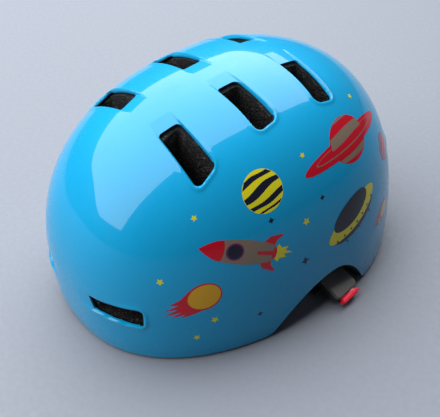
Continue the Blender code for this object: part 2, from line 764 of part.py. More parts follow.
def buckle_block(name, out_range, across_half, up_range, slot, corner=0.002):
    """A rounded block in the buckle's own frame, measured from the housing's outer end."""
    out, across, up = buckle_frame()
    length = out_range[1] - out_range[0]
    middle = Vector(BUCKLE_END) + out * (out_range[0] + out_range[1]) / 2
    middle += up * (up_range[0] + up_range[1]) / 2
    half = (up_range[1] - up_range[0]) / 2
    outline = oval_outline(length, 2 * across_half, corner, 3)
    return prism(name, outline, middle, out, across, half, half, slot)


def buckle():
    base = buckle_block("buckle_base", (-0.0200, 0.0), 0.0095, (-0.0042, -0.0002), "grey_plastic", 0.0022)
    run = (-0.0150, 0.0050)
    cut(base, buckle_block("cutter_base_channel", run, 0.0066, (-0.0016, 0.0020), "steel", 0.0008))
    cut(base, buckle_block("cutter_tongue_slot", run, 0.0062, (-0.0034, -0.0022), "steel", 0.0005))
    cover = buckle_block("buckle_cover", (-0.0200, 0.0), 0.0095, (0.0001, 0.0034), "grey_plastic", 0.0022)
    cut(cover, buckle_block("cutter_cover_channel", run, 0.0066, (-0.0010, 0.0018), "steel", 0.0008))
    button = buckle_block("release_button", (-0.0100, 0.0024), 0.0062, (-0.0012, 0.0014),
                          "red_plastic", 0.0006)
    pad = buckle_block("release_button_pad", (0.0020, 0.0042), 0.0078, (-0.0020, 0.0026),
                       "red_plastic", 0.0010)
    join = button.modifiers.new("pad", "BOOLEAN")
    join.operation = "UNION"
    join.solver = "EXACT"
    join.object = pad
    pad.hide_render = True
    pad.display_type = "WIRE"
    coil_spring("button_spring", -0.0147, -0.0104)


def coil_spring(name, start, end):
    """A closed helical wire between two places along the buckle."""
    out, across, up = buckle_frame()
    turns = 3
    steps = 12 * turns
    radius = 0.0009
    wire = 0.00022
    sides = 6
    vertices = []
    faces = []
    for i in range(steps + 1):
        angle = 2 * math.pi * turns * i / steps
        radial = across * math.cos(angle) + up * math.sin(angle)
        centre = Vector(BUCKLE_END) + out * (start + wire + (end - start - 2 * wire) * i / steps)
        centre += up * 0.0001 + radial * radius
        for k in range(sides):
            turn = 2 * math.pi * k / sides
            vertices.append(centre + radial * (wire * math.cos(turn)) + out * (wire * math.sin(turn)))
    for i in range(steps):
        for k in range(sides):
            a = i * sides + k
            b = i * sides + (k + 1) % sides
            faces.append((a, b, b + sides, a + sides))
    faces.append(tuple(range(sides)))
    faces.append(tuple(range((steps + 1) * sides - 1, steps * sides - 1, -1)))
    make_object(name, vertices, faces, "steel")


def chin_hardware():
    across = Vector((0.38, 0.925, 0))
    tongue = prism("buckle_tongue", oval_outline(0.0190, 0.0150, 0.0022), TONGUE_CENTRE, TONGUE_ALONG,
                   across, 0.0007, 0.0007, "red_plastic")
    window_centre = Vector(TONGUE_CENTRE) + Vector(TONGUE_ALONG).normalized() * 0.0040
    cut(tongue, prism("cutter_tongue_window", oval_outline(0.0050, 0.0060, 0.0008, 2), window_centre,
                      TONGUE_ALONG, across, 0.003, 0.003, "steel"))
    ring = prism("strap_keeper", oval_outline(0.0060, 0.0186, 0.0008, 2), KEEPER_CENTRE, TONGUE_ALONG,
                 across, 0.0022, 0.0021, "dark_plastic")
    loop_centre = (KEEPER_CENTRE[0], KEEPER_CENTRE[1], 0.0014)
    cut(ring, prism("cutter_keeper", oval_outline(0.0100, 0.0162, 0.0004, 2), loop_centre, TONGUE_ALONG,
                    across, 0.0013, 0.00125, "steel"))


def harness():
    harness_side(1)
    harness_side(-1)
    ribbon("chin_strap_left", [(Vector(c), Vector(w)) for c, w in CHIN_STRAP_LEFT])
    ribbon("chin_strap_right", [(Vector(c), Vector(w)) for c, w in CHIN_STRAP_RIGHT], per_span=4)
    ribbon("strap_tail_right", [(Vector(c), Vector(w)) for c, w in STRAP_TAIL_RIGHT])
    buckle()
    chin_hardware()


def main():
    clear_scene()
    shell_and_liner()
    comfort_pads()
    front_band()
    cradle()
    adjuster_arm(1)
    adjuster_arm(-1)
    dial()
    harness()


main()
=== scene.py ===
"""Looks for the child's cycling helmet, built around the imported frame. Metres, +Z up, -Y front."""
import math

import bpy
import bmesh
from mathutils import Matrix, Vector
from mathutils.bvhtree import BVHTree


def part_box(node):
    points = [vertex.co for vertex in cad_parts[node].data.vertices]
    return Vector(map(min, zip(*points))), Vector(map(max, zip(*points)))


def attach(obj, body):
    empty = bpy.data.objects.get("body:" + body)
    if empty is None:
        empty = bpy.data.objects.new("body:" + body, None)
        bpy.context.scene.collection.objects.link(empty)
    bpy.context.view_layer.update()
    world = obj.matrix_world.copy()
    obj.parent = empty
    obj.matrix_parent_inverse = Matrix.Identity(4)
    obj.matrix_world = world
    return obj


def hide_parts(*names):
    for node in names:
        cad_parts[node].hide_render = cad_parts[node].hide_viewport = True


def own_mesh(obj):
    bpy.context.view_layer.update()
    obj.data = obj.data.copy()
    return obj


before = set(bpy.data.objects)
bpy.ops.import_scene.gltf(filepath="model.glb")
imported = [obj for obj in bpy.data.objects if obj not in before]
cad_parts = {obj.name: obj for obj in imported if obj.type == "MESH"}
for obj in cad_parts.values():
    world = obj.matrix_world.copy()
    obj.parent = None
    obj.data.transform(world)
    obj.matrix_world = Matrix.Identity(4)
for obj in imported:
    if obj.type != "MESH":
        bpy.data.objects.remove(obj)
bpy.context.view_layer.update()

MM = 0.001

# ---- driving dimensions, the same as the part's ----
HALF_WIDTH = 90 * MM
FRONT_LENGTH = 141 * MM
REAR_LENGTH = 100.8 * MM
BREAK_Y = 21 * MM
WIDEST_Z = 18.5 * MM
CROWN_HEIGHT = 135 * MM
UNDERCUT_DEPTH = 124 * MM
FRONT_SQUARENESS = 0.86
REAR_SQUARENESS = 1.03
CROWN_SQUARENESS = 0.80
TOP_LEAN = -0.06
CAVITY_HALF_WIDTH = 72 * MM
CAVITY_HALF_LENGTH = 92 * MM
CAVITY_TOP = 113 * MM
SHELL_EDGE_ABOVE_LINER = 2.2 * MM
ARCH_TOP_Y = 10 * MM
ARCH_HEIGHT = 30 * MM
ARCH_FRONT_SPAN = 48 * MM
ARCH_REAR_SPAN = 30 * MM
ARCH_BLEND = 4 * MM
NOTCH_HALF_WIDTH = 25 * MM
NOTCH_HEIGHT = 44 * MM
NOTCH_CORNER = 14 * MM
SLOT_YS = (-56.8 * MM, -12.4 * MM, 31.8 * MM)
SLOT_X = 34.5 * MM
SLOT_LENGTH = 34 * MM
SLOT_WIDTH = 12.2 * MM
BROW_VENT_X = 36 * MM
BROW_VENT_Z = 37 * MM
BROW_VENT_LENGTH = 33 * MM
BROW_VENT_HEIGHT = 10.5 * MM
REAR_VENT_X = 36 * MM
REAR_VENT_Z = 64 * MM


# ======================= surfaces =======================
def signed_power(value, exponent):
    return math.copysign(abs(value) ** exponent, value)


def dome_point(around, up):
    """A point on the shell's outer face. around: 0 at +X, 90 deg at +Y. up: 0 at the widest line."""
    front = math.sin(around) < 0
    length = FRONT_LENGTH if front else REAR_LENGTH
    squareness = FRONT_SQUARENESS if front else REAR_SQUARENESS
    if up < 0:
        spread = math.cos(up)
        z = WIDEST_Z + UNDERCUT_DEPTH * math.sin(up)
    else:
        spread = max(math.cos(up), 0.0) ** CROWN_SQUARENESS
        z = WIDEST_Z + (CROWN_HEIGHT - WIDEST_Z) * math.sin(up) ** CROWN_SQUARENESS
    x = HALF_WIDTH * spread * signed_power(math.cos(around), squareness)
    y = length * spread * signed_power(math.sin(around), squareness)
    return Vector((x, y + BREAK_Y + TOP_LEAN * (z - WIDEST_Z), z))


def dome_normal(around, up):
    step = 0.004
    east = dome_point(around + step, up) - dome_point(around - step, up)
    top = min(up + step, math.pi / 2 - 1e-6)
    north = dome_point(around, top) - dome_point(around, up - step)
    normal = east.cross(north)
    if normal.length < 1e-12:
        return Vector((0, 0, 1))
    return normal.normalized()


def dome_inset(around, up, depth):
    if up > math.pi / 2 - 0.02:
        return dome_point(around, up) - Vector((0, 0, depth))
    return dome_point(around, up) - dome_normal(around, up) * depth


def cavity_point(around, up, inset=0.0):
    width = CAVITY_HALF_WIDTH - inset
    length = CAVITY_HALF_LENGTH - inset
    if up < 0:
        spread = math.cos(up)
        z = WIDEST_Z + 0.20 * math.sin(up)
    else:
        spread = math.cos(up)
        z = WIDEST_Z + (CAVITY_TOP - inset - WIDEST_Z) * math.sin(up)
    x = width * spread * math.cos(around)
    y = length * spread * math.sin(around)
    return Vector((x, y + TOP_LEAN * (z - WIDEST_Z), z))


def rim_height(y):
    span = ARCH_FRONT_SPAN if y < ARCH_TOP_Y else ARCH_REAR_SPAN
    arch = ARCH_HEIGHT * (1 - ((y - ARCH_TOP_Y) / span) ** 2)
    if arch < -ARCH_BLEND:
        return 0.0
    if arch < ARCH_BLEND:
        return (arch + ARCH_BLEND) ** 2 / (4 * ARCH_BLEND)
    return arch


def lowest_up(surface, around, height):
    low = -0.5
    high = 1.2
    for _ in range(30):
        middle = (low + high) / 2
        if surface(around, middle).z < height:
            low = middle
        else:
            high = middle
    return (low + high) / 2


def dome_angles(x, y=None, z=None):
    """Find the around and up angles of the dome point with this x and y, or x and z."""
    best = None
    around_span = (-math.pi, math.pi)
    up_span = (-0.1, 1.5)
    for _ in range(7):
        best = None
        for i in range(41):
            around = around_span[0] + (around_span[1] - around_span[0]) * i / 40
            for j in range(21):
                up = up_span[0] + (up_span[1] - up_span[0]) * j / 20
                point = dome_point(around, up)
                if z is None:
                    miss = (point.x - x) ** 2 + (point.y - y) ** 2
                else:
                    facing = 0 if point.y * y > 0 else 1
                    miss = (point.x - x) ** 2 + (point.z - z) ** 2 + facing
                if best is None or miss < best[0]:
                    best = (miss, around, up)
        around_size = (around_span[1] - around_span[0]) / 8
        up_size = (up_span[1] - up_span[0]) / 6
        around_span = (best[1] - around_size, best[1] + around_size)
        up_span = (max(best[2] - up_size, -0.1), min(best[2] + up_size, 1.5))
    return best[1], best[2]


# ======================= mesh helpers =======================
def add_object(name, data):
    made = bpy.data.objects.new(name, data)
    bpy.context.collection.objects.link(made)
    return made


def smooth(mesh, angle):
    mesh.shade_smooth()
    mesh.set_sharp_from_angle(angle=math.radians(angle))


def mesh_object(name, vertices, faces, smooth_angle=35.0):
    mesh = bpy.data.meshes.new(name)
    mesh.from_pydata([tuple(v) for v in vertices], [], faces)
    work = bmesh.new()
    work.from_mesh(mesh)
    bmesh.ops.remove_doubles(work, verts=work.verts, dist=1e-7)
    bmesh.ops.recalc_face_normals(work, faces=work.faces)
    work.to_mesh(mesh)
    work.free()
    smooth(mesh, smooth_angle)
    return add_object(name, mesh)


def tube_faces(rings, sides):
    """The faces round a tube whose corners are listed ring by ring."""
    faces = []
    for i in range(rings - 1):
        for k in range(sides):
            a = i * sides + k
            b = i * sides + (k + 1) % sides
            faces.append((a, b, b + sides, a + sides))
    return faces


def cushion_faces(columns, rows):
    """The faces of two grids, one over the other, and of the border that joins them."""
    faces = []
    width = columns + 1
    layer_size = width * (rows + 1)
    for base in (0, layer_size):
        for j in range(rows):
            for i in range(columns):
                a = base + j * width + i
                faces.append((a, a + 1, a + 1 + width, a + width))
    border = list(range(width))
    border += [j * width + columns for j in range(1, rows + 1)]
    border += [rows * width + i for i in range(columns - 1, -1, -1)]
    border += [j * width for j in range(rows - 1, 0, -1)]
    for i, a in enumerate(border):
        b = border[(i + 1) % len(border)]
        faces.append((a, b, b + layer_size, a + layer_size))
    return faces


def apply_modifiers(thing, smooth_angle=None):
    graph = bpy.context.evaluated_depsgraph_get()
    graph.update()
    thing_mesh = bpy.data.meshes.new_from_object(thing.evaluated_get(graph))
    thing.modifiers.clear()
    thing.data = thing_mesh
    if smooth_angle is not None:
        smooth(thing_mesh, smooth_angle)


def boolean(target, tool):
    """Cut the tool out of the target, and delete the tool."""
    modifier = target.modifiers.new("boolean", "BOOLEAN")
    modifier.operation = "DIFFERENCE"
    modifier.solver = "EXACT"
    modifier.object = tool
    apply_modifiers(target)
    bpy.data.objects.remove(tool, do_unlink=True)


def bevel(thing, width, segments, angle, smooth_angle):
    modifier = thing.modifiers.new("bevel", "BEVEL")
    modifier.width = width
    modifier.segments = segments
    modifier.limit_method = "ANGLE"
    modifier.angle_limit = math.radians(angle)
    apply_modifiers(thing, smooth_angle)


def finish_piece(thing, body, slot, material, *nodes):
    thing.data.materials.clear()
    thing.data.materials.append(material)
    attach(thing, body)
    if nodes:
        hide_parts(*nodes)


def finish_cushion(pad, body, node):
    """One subdivision, the knit cover, and the cushion's CAD part hidden."""
    modifier = pad.modifiers.new("smooth", "SUBSURF")
    modifier.levels = 1
    modifier.render_levels = 1
    apply_modifiers(pad, 80.0)
    finish_piece(pad, body, "pad_fabric", KNIT, node)


def prism(outline, centre, along, across, depth):
    """A bar with this outline, from depth below its centre to depth above it."""
    along = Vector(along).normalized()
    normal = along.cross(Vector(across)).normalized()
    across = normal.cross(along).normalized()
    centre = Vector(centre)
    count = len(outline)
    vertices = []
    for level in (depth, -depth):
        for u, v in outline:
            vertices.append(centre + along * u + across * v + normal * level)
    faces = [tuple(range(count)), tuple(range(2 * count - 1, count - 1, -1))]
    for i in range(count):
        k = (i + 1) % count
        faces.append((i, i + count, k + count, k))
    return mesh_object("cutter", vertices, faces)


# ======================= materials =======================
class Look:
    """A procedural material and short ways to add nodes to it."""

    def __init__(self, name, colour, roughness, metallic=0.0):
        self.material = bpy.data.materials.new(name)
        self.material.use_nodes = True
        self.tree = self.material.node_tree
        self.shader = self.tree.nodes["Principled BSDF"]
        self.shader.inputs["Base Color"].default_value = (*colour, 1.0)
        self.shader.inputs["Roughness"].default_value = roughness
        self.shader.inputs["Metallic"].default_value = metallic
        self.normal = None

    def node(self, kind, **inputs):
        """A node with some inputs set. An underscore in a name stands for a space."""
        made = self.tree.nodes.new(kind)
        for key, value in inputs.items():
            made.inputs[key.replace("_", " ")].default_value = value
        return made

    def link(self, start, end):
        self.tree.links.new(start, end)

    def coordinates(self, scale=(1, 1, 1), source="Object", turn=(0, 0, 0)):
        place = self.node("ShaderNodeTexCoord")
        mapping = self.node("ShaderNodeMapping", Scale=scale, Rotation=turn)
        self.link(place.outputs[source], mapping.inputs["Vector"])
        return mapping.outputs["Vector"]

    def noise(self, vector, scale, detail=4.0, rough=0.5):
        made = self.node("ShaderNodeTexNoise", Scale=scale, Detail=detail, Roughness=rough)
        self.link(vector, made.inputs["Vector"])
        return made.outputs["Fac"]

    def voronoi(self, vector, scale, feature="F1", output="Distance", randomness=1.0):
        made = self.node("ShaderNodeTexVoronoi", Scale=scale, Randomness=randomness)
        made.feature = feature
        self.link(vector, made.inputs["Vector"])
        return made.outputs[output]

    def wave(self, vector, scale, direction):
        made = self.node("ShaderNodeTexWave", Scale=scale, Distortion=0.0)
        made.bands_direction = direction
        self.link(vector, made.inputs["Vector"])
        return made.outputs["Fac"]

    def remap(self, value, low, high, out_low, out_high):
        made = self.node("ShaderNodeMapRange", From_Min=low, From_Max=high, To_Min=out_low, To_Max=out_high)
        self.link(value, made.inputs["Value"])
        return made.outputs["Result"]

    def maths(self, operation, first, second):
        made = self.node("ShaderNodeMath")
        made.operation = operation
        for number, value in enumerate((first, second)):
            if isinstance(value, (int, float)):
                made.inputs[number].default_value = value
            else:
                self.link(value, made.inputs[number])
        return made.outputs["Value"]

    def ramp(self, value, *stops):
        made = self.node("ShaderNodeValToRGB")
        elements = made.color_ramp.elements
        while len(elements) < len(stops):
            elements.new(0.5)
        for element, (place, colour) in zip(elements, stops):
            element.position = place
            element.color = (*colour, 1.0)
        self.link(value, made.inputs["Fac"])
        return made.outputs["Color"]

    def colour(self, socket):
        self.link(socket, self.shader.inputs["Base Color"])

    def roughness(self, socket):
        self.link(socket, self.shader.inputs["Roughness"])

    def bump(self, height, distance, strength=1.0):
        made = self.node("ShaderNodeBump", Distance=distance, Strength=strength)
        self.link(height, made.inputs["Height"])
        if self.normal is not None:
            self.link(self.normal, made.inputs["Normal"])
        self.normal = made.outputs["Normal"]
        self.link(self.normal, self.shader.inputs["Normal"])

    def set(self, **values):
        for key, value in values.items():
            self.shader.inputs[key.replace("_", " ")].default_value = value


def gloss_paint(name, dark, light, roughness=0.16):
    """Glossy moulded plastic: a faint colour drift, orange peel, dust and fine scratches."""
    look = Look(name, light, roughness)
    place = look.coordinates()
    look.colour(look.ramp(look.noise(place, 9.0, 3.0), (0.30, dark), (0.72, light)))
    dust = look.noise(place, 60.0, 6.0, 0.7)
    long_way = look.coordinates((26.0, 420.0, 60.0), turn=(0.3, 0.2, 0.7))
    scratch = look.noise(long_way, 1.0, 2.0, 0.4)
    fine = look.remap(scratch, 0.60, 0.72, 0.0, 0.10)
    base = look.remap(dust, 0.35, 0.75, roughness * 0.75, roughness * 1.5)
    look.roughness(look.maths("ADD", base, fine))
    look.bump(look.noise(place, 260.0, 2.0), 0.00004, 0.35)
    look.set(Coat_Weight=0.64, Coat_Roughness=0.03, Coat_IOR=1.42, Specular_IOR_Level=0.05)
    return look.material


def bead_foam(name, dark, light):
    """Expanded bead foam: packed cells, with light speckles in the colour that are partly the beads' own tone
    and partly painted glints off their skins.
    """
    look = Look(name, dark, 0.8)
    place = look.coordinates()
    cells = look.voronoi(place, 620.0, "DISTANCE_TO_EDGE")
    tone = look.voronoi(place, 900.0, "F1", "Color")
    speckle_and_glint = look.node("ShaderNodeRGBToBW")
    look.link(tone, speckle_and_glint.inputs["Color"])
    grain = look.noise(place, 1400.0, 3.0)
    mixed = look.maths("ADD", look.maths("MULTIPLY", speckle_and_glint.outputs["Val"], 0.7),
                       look.maths("MULTIPLY", grain, 0.35))
    # Light speckles: partly bead tone, partly painted glints.
    look.colour(look.ramp(mixed, (0.25, dark), (0.66, dark), (0.90, light)))
    look.roughness(look.remap(speckle_and_glint.outputs["Val"], 0.1, 0.9, 0.55, 0.95))
    look.set(Specular_IOR_Level=0.22)
    look.bump(look.remap(cells, 0.0, 0.25, 0.0, 1.0), 0.0007, 0.8)
    look.bump(grain, 0.00015, 0.5)
    return look.material


def satin_plastic(name, colour, worn, roughness=0.42, grain=900.0):
    """Moulded nylon with a spark-eroded grain and rubbed, lighter patches."""
    look = Look(name, colour, roughness)
    place = look.coordinates()
    rub = look.noise(place, 45.0, 5.0, 0.65)
    look.colour(look.ramp(rub, (0.45, colour), (0.80, worn)))
    look.roughness(look.remap(rub, 0.3, 0.8, roughness * 1.15, roughness * 0.75))
    look.bump(look.noise(place, grain, 3.0, 0.6), 0.00010, 0.45)
    return look.material


def brushed_knit(name, dark, light):
    """Brushed knit over foam: rows of loops under a short, lint-flecked nap."""
    look = Look(name, dark, 0.95)
    place = look.coordinates()
    loops = look.voronoi(place, 900.0, "F1", "Distance", 0.35)
    nap = look.noise(place, 1900.0, 4.0, 0.7)
    cloudy = look.noise(place, 55.0, 5.0, 0.6)
    mixed = look.maths("ADD", look.maths("MULTIPLY", nap, 0.5), look.maths("MULTIPLY", cloudy, 0.5))
    look.colour(look.ramp(mixed, (0.38, dark), (0.68, light)))
    look.roughness(look.remap(nap, 0.2, 0.8, 0.85, 1.0))
    look.bump(look.remap(loops, 0.0, 0.6, 1.0, 0.0), 0.0005, 0.6)
    look.bump(nap, 0.0004, 0.6)
    look.set(Sheen_Weight=0.5, Sheen_Roughness=0.4)
    return look.material


def hook_face(name, dark, light):
    look = Look(name, dark, 0.8)
    place = look.coordinates()
    hooks = look.voronoi(place, 1300.0, "F1", "Distance", 0.2)
    look.colour(look.ramp(hooks, (0.1, light), (0.45, dark)))
    look.roughness(look.remap(hooks, 0.0, 0.6, 0.5, 0.95))
    look.bump(look.remap(hooks, 0.0, 0.5, 1.0, 0.0), 0.0006, 1.0)
    return look.material


def webbing(name, dark, light):
    """Woven webbing. U runs along the strap and V across it, both in millimetres."""
    look = Look(name, dark, 0.7)
    ribs = look.coordinates((1.0, 1.0, 1.0), "UV")
    warp = look.wave(ribs, 0.62, "Y")
    weft = look.wave(look.coordinates((1.0, 1.0, 1.0), "UV", (0, 0, 0.55)), 0.85, "X")
    weave = look.maths("MULTIPLY", warp, weft)
    fluff = look.noise(look.coordinates(), 1600.0, 3.0, 0.7)
    tone = look.maths("ADD", look.maths("MULTIPLY", weave, 0.6), look.maths("MULTIPLY", fluff, 0.4))
    look.colour(look.ramp(tone, (0.15, dark), (0.75, light)))
    look.roughness(look.remap(weave, 0.0, 1.0, 0.85, 0.5))
    look.bump(weave, 0.00045, 0.9)
    look.bump(fluff, 0.00012, 0.5)
    look.set(Sheen_Weight=0.25, Sheen_Roughness=0.35)
    return look.material


def bright_steel(name):
    look = Look(name, (0.58, 0.58, 0.60), 0.28, 1.0)
    drawn = look.noise(look.coordinates((40.0, 40.0, 900.0)), 6.0, 3.0)
    look.roughness(look.remap(drawn, 0.2, 0.8, 0.18, 0.42))
    look.bump(drawn, 0.00004, 0.4)
    return look.material


SHELL_BLUE = gloss_paint("shell_blue_gloss", (0.0029, 0.2143, 0.4), (0.0043, 0.2393, 0.4393), 0.30)
# The foam's second colour is its light speckle: partly bead tone, partly painted glint.
FOAM = bead_foam("bead_foam_black", (0.0022, 0.0022, 0.0027), (0.0786, 0.0593, 0.0493))
NYLON = satin_plastic("nylon_black", (0.013, 0.013, 0.014), (0.035, 0.035, 0.037))
NYLON_GREY = satin_plastic("nylon_dark_grey", (0.085, 0.078, 0.074), (0.15, 0.14, 0.135), 0.38)
RED = satin_plastic("moulded_red", (0.72, 0.006, 0.028), (0.86, 0.02, 0.055), 0.30)
KNIT = brushed_knit("brushed_knit_black", (0.0071, 0.0071, 0.0086), (0.0286, 0.0286, 0.0321))
HOOKS = hook_face("hook_tape_black", (0.0043, 0.0043, 0.005), (0.0357, 0.0357, 0.0393))
WEB = webbing("woven_webbing_black", (0.0043, 0.0043, 0.005), (0.0321, 0.0321, 0.0357))
THREAD = satin_plastic("stitch_thread", (0.03, 0.03, 0.033), (0.08, 0.08, 0.085), 0.7, 2500.0)
STEEL = bright_steel("drawn_steel")
INKS = {
    "red": ((0.3571, 0.0029, 0.0114), (0.4286, 0.0043, 0.0157)),
    "taupe": ((0.1429, 0.1036, 0.075), (0.1786, 0.1286, 0.0964)),
    "yellow": ((0.4714, 0.4143, 0.0086), (0.5286, 0.4714, 0.0114)),
    "amber": ((0.4286, 0.2143, 0.0029), (0.5, 0.2571, 0.0043)),
    "ink": ((0.0043, 0.005, 0.0143), (0.0071, 0.0086, 0.0214)),
    "plum": ((0.1, 0.0071, 0.0571), (0.1286, 0.0143, 0.0786)),
    "green": ((0.0714, 0.2571, 0.0429), (0.0929, 0.3, 0.0571)),
    "orange": ((0.4429, 0.1071, 0.0143), (0.5, 0.1357, 0.0214)),
}
PRINT = {ink: gloss_paint("print_" + ink, dark, light) for ink, (dark, light) in INKS.items()}


# ======================= vents =======================
class Vent:
    """A vent's own frame on the dome: out is away from the helmet's middle line, over is across it."""

    def __init__(self, side, place, size, is_top, run_in, turn, corners):
        x, y, z = place
        around, up = dome_angles(side * x, y, z)
        self.centre = dome_point(around, up)
        self.normal = dome_normal(around, up)
        level = Vector((side, 0, 0))
        plain_out = (level - self.normal * level.dot(self.normal)).normalized()
        plain_over = self.normal.cross(plain_out) * side
        swing = math.radians(turn)
        self.out = plain_out * math.cos(swing) - plain_over * math.sin(swing)
        self.over = plain_over * math.cos(swing) + plain_out * math.sin(swing)
        self.length, self.width = size
        self.is_top = is_top
        self.run_in = run_in
        self.start = -self.length / 2 - run_in
        self.corners = corners

    def middle_and_half(self, along):
        """Middle line and half width of the opening at a distance along it."""
        (inner, top_in, _), (outer, top_out, _), (_, low_out, _), (_, low_in, _) = self.corners
        share = min(max((along - inner) / (outer - inner), -0.35), 1.0)
        top = top_in + (top_out - top_in) * share
        low = low_in + (low_out - low_in) * share
        return (top + low) / 2, (top - low) / 2

    def end_at(self, across):
        """How far out the opening reaches, as its outer end is slanted."""
        _, (outer_top, top_out, _), (outer_low, low_out, _), _ = self.corners
        share = min(max((across - low_out) / (top_out - low_out), 0.0), 1.0)
        return outer_low + (outer_top - outer_low) * share

    def local(self, point):
        away = point - self.centre
        return away.dot(self.out), away.dot(self.over), away.dot(self.normal)


def smoothstep(low, high, value):
    t = min(max((value - low) / (high - low), 0.0), 1.0)
    return t * t * (3 - 2 * t)


# The four corners of each opening with their radii: inner top, outer top, outer low, inner low.
FRONT_SLOT = [(-17.0 * MM, 6.8 * MM, 3.2 * MM), (15.6 * MM, 7.9 * MM, 3.6 * MM),
              (20.6 * MM, -7.4 * MM, 3.0 * MM), (-17.0 * MM, -6.8 * MM, 2.3 * MM)]
MIDDLE_SLOT = [(-19.6 * MM, 7.5 * MM, 4.0 * MM), (14.4 * MM, 7.5 * MM, 4.0 * MM),
               (16.2 * MM, -7.3 * MM, 3.0 * MM), (-19.6 * MM, -7.0 * MM, 2.3 * MM)]
REAR_SLOT = [(-16.8 * MM, 7.2 * MM, 1.8 * MM), (17.6 * MM, 7.0 * MM, 3.8 * MM),
             (17.4 * MM, -6.8 * MM, 3.4 * MM), (-17.0 * MM, -6.8 * MM, 1.8 * MM)]
BROW_CORNERS = [(-17.4 * MM, 4.6 * MM, 0.8 * MM), (17.0 * MM, 6.2 * MM, 1.8 * MM),
                (17.0 * MM, -6.9 * MM, 1.4 * MM), (-14.2 * MM, -4.3 * MM, 1.2 * MM)]
SLOT_RUNS = (9 * MM, 12 * MM, 12 * MM)
SLOT_TURNS = (9.0, 1.0, 0.0)
SLOTS = list(zip(SLOT_YS, SLOT_RUNS, SLOT_TURNS, (FRONT_SLOT, MIDDLE_SLOT, REAR_SLOT)))
VENTS = []
for vent_side in (1, -1):
    for slot_y, slot_run, slot_turn, slot_corners in SLOTS:
        VENTS.append(Vent(vent_side, (SLOT_X, slot_y, None), (SLOT_LENGTH, SLOT_WIDTH), True, slot_run,
                          slot_turn, slot_corners))
    for low_place in ((BROW_VENT_X, -1, BROW_VENT_Z), (REAR_VENT_X, 1, REAR_VENT_Z)):
        VENTS.append(Vent(vent_side, low_place, (BROW_VENT_LENGTH, BROW_VENT_HEIGHT), False, 9 * MM, 0.0,
                          BROW_CORNERS))

TROUGH_DEPTH = 1.3 * MM
BROW_DEPTH = 0.5 * MM
TROUGH_MARGIN = 0.15 * MM
LIP_RISE = 0.45 * MM
BLEND_WIDTH = 0.40 * MM
TROUGH_CORNER = 4.4 * MM
VENT_REACH = 12 * MM         # a point further off the dome than this belongs to another part of it


def vent_relief(vent, along, across):
    """Height of the moulded surface near a vent: a ramp down to it and a lip round its outer end."""
    half_length = vent.length / 2
    middle, half_width = vent.middle_and_half(along)
    end = vent.end_at(across) + TROUGH_MARGIN
    across -= middle
    ramp = min(max((along - vent.start) / (vent.run_in + 3 * MM), 0.0), 1.0)
    spread = half_width + TROUGH_MARGIN
    corner = TROUGH_CORNER
    if along > end - corner:
        lap = along - (end - corner)
        over = max(abs(across) - (spread - corner), 0.0)
        outside = math.hypot(lap, over) - corner
    else:
        outside = abs(across) - spread
    inside = 1 - smoothstep(-BLEND_WIDTH * 0.2, BLEND_WIDTH, outside)
    if along < vent.start:
        inside = 0.0
    lip_share = smoothstep(-half_length * 0.6, half_length * 0.8, along)
    depth = TROUGH_DEPTH
    if not vent.is_top:
        depth = BROW_DEPTH
        if across < 0:
            lip_share = 1.5 * smoothstep(vent.start, -half_length * 0.7, along)
    lip = LIP_RISE * lip_share * math.exp(-((outside - 1.2 * MM) / (1.3 * MM)) ** 2) * (1 - inside)
    return lip - depth * ramp * inside


def hollow_at(point):
    """How far the liner stays back under a vent's trough, with room to spare round it."""
    depth = 0.0
    for vent in VENTS:
        along, across, above = vent.local(point)
        if abs(above) < VENT_REACH:
            level = smoothstep(vent.start - 6 * MM, vent.start, along)
            level *= 1 - smoothstep(vent.length / 2 + 4 * MM, vent.length / 2 + 9 * MM, along)
            level *= 1 - smoothstep(vent.width / 2 + 5 * MM, vent.width / 2 + 10 * MM, abs(across))
            depth = max(depth, level * (TROUGH_DEPTH + 0.1 * MM))
    return depth


def relief_at(point):
    """How far the moulded surface stands off the plain dome at a point."""
    height = 0.0
    for vent in VENTS:
        along, across, above = vent.local(point)
        if abs(above) < VENT_REACH and -38 * MM < along < 27 * MM and abs(across) < 14 * MM:
            height += vent_relief(vent, along, across)
    return height


# ======================= shell =======================
def dome_grid(surface, edge_raise, rings, rows):
    """Vertices, faces and angles of one dome surface, from its scalloped lower edge to its pole."""
    vertices = []
    angles = []
    faces = []
    for i in range(rings):
        around = 2 * math.pi * i / rings
        edge = rim_height(surface(around, 0.0).y) + edge_raise
        start = lowest_up(surface, around, edge)
        for j in range(rows):
            share = j / rows
            up = start + (math.pi / 2 - start) * (1 - (1 - share) ** 1.15)
            point = surface(around, up)
            if j == 0:
                point.z = edge
            vertices.append(point)
            angles.append((around, up))
    vertices.append(surface(0.0, math.pi / 2))
    angles.append((0.0, math.pi / 2))
    for i in range(rings):
        k = (i + 1) % rings
        for j in range(rows - 1):
            a = i * rows + j
            b = k * rows + j
            faces.append((a, b, b + 1, a + 1))
        faces.append((i * rows + rows - 1, k * rows + rows - 1, rings * rows))
    return vertices, faces, angles


SHELL_RINGS = 300
SHELL_ROWS = 84
VISUAL_WALL = 1.1 * MM       # the moulding looks this thick at its vents
RIM_WALL = 2.2 * MM


def wall_at(up):
    return RIM_WALL + (VISUAL_WALL - RIM_WALL) * smoothstep(0.0, 0.045, up)


def shell_inner(around, up):
    return dome_inset(around, up, wall_at(up))


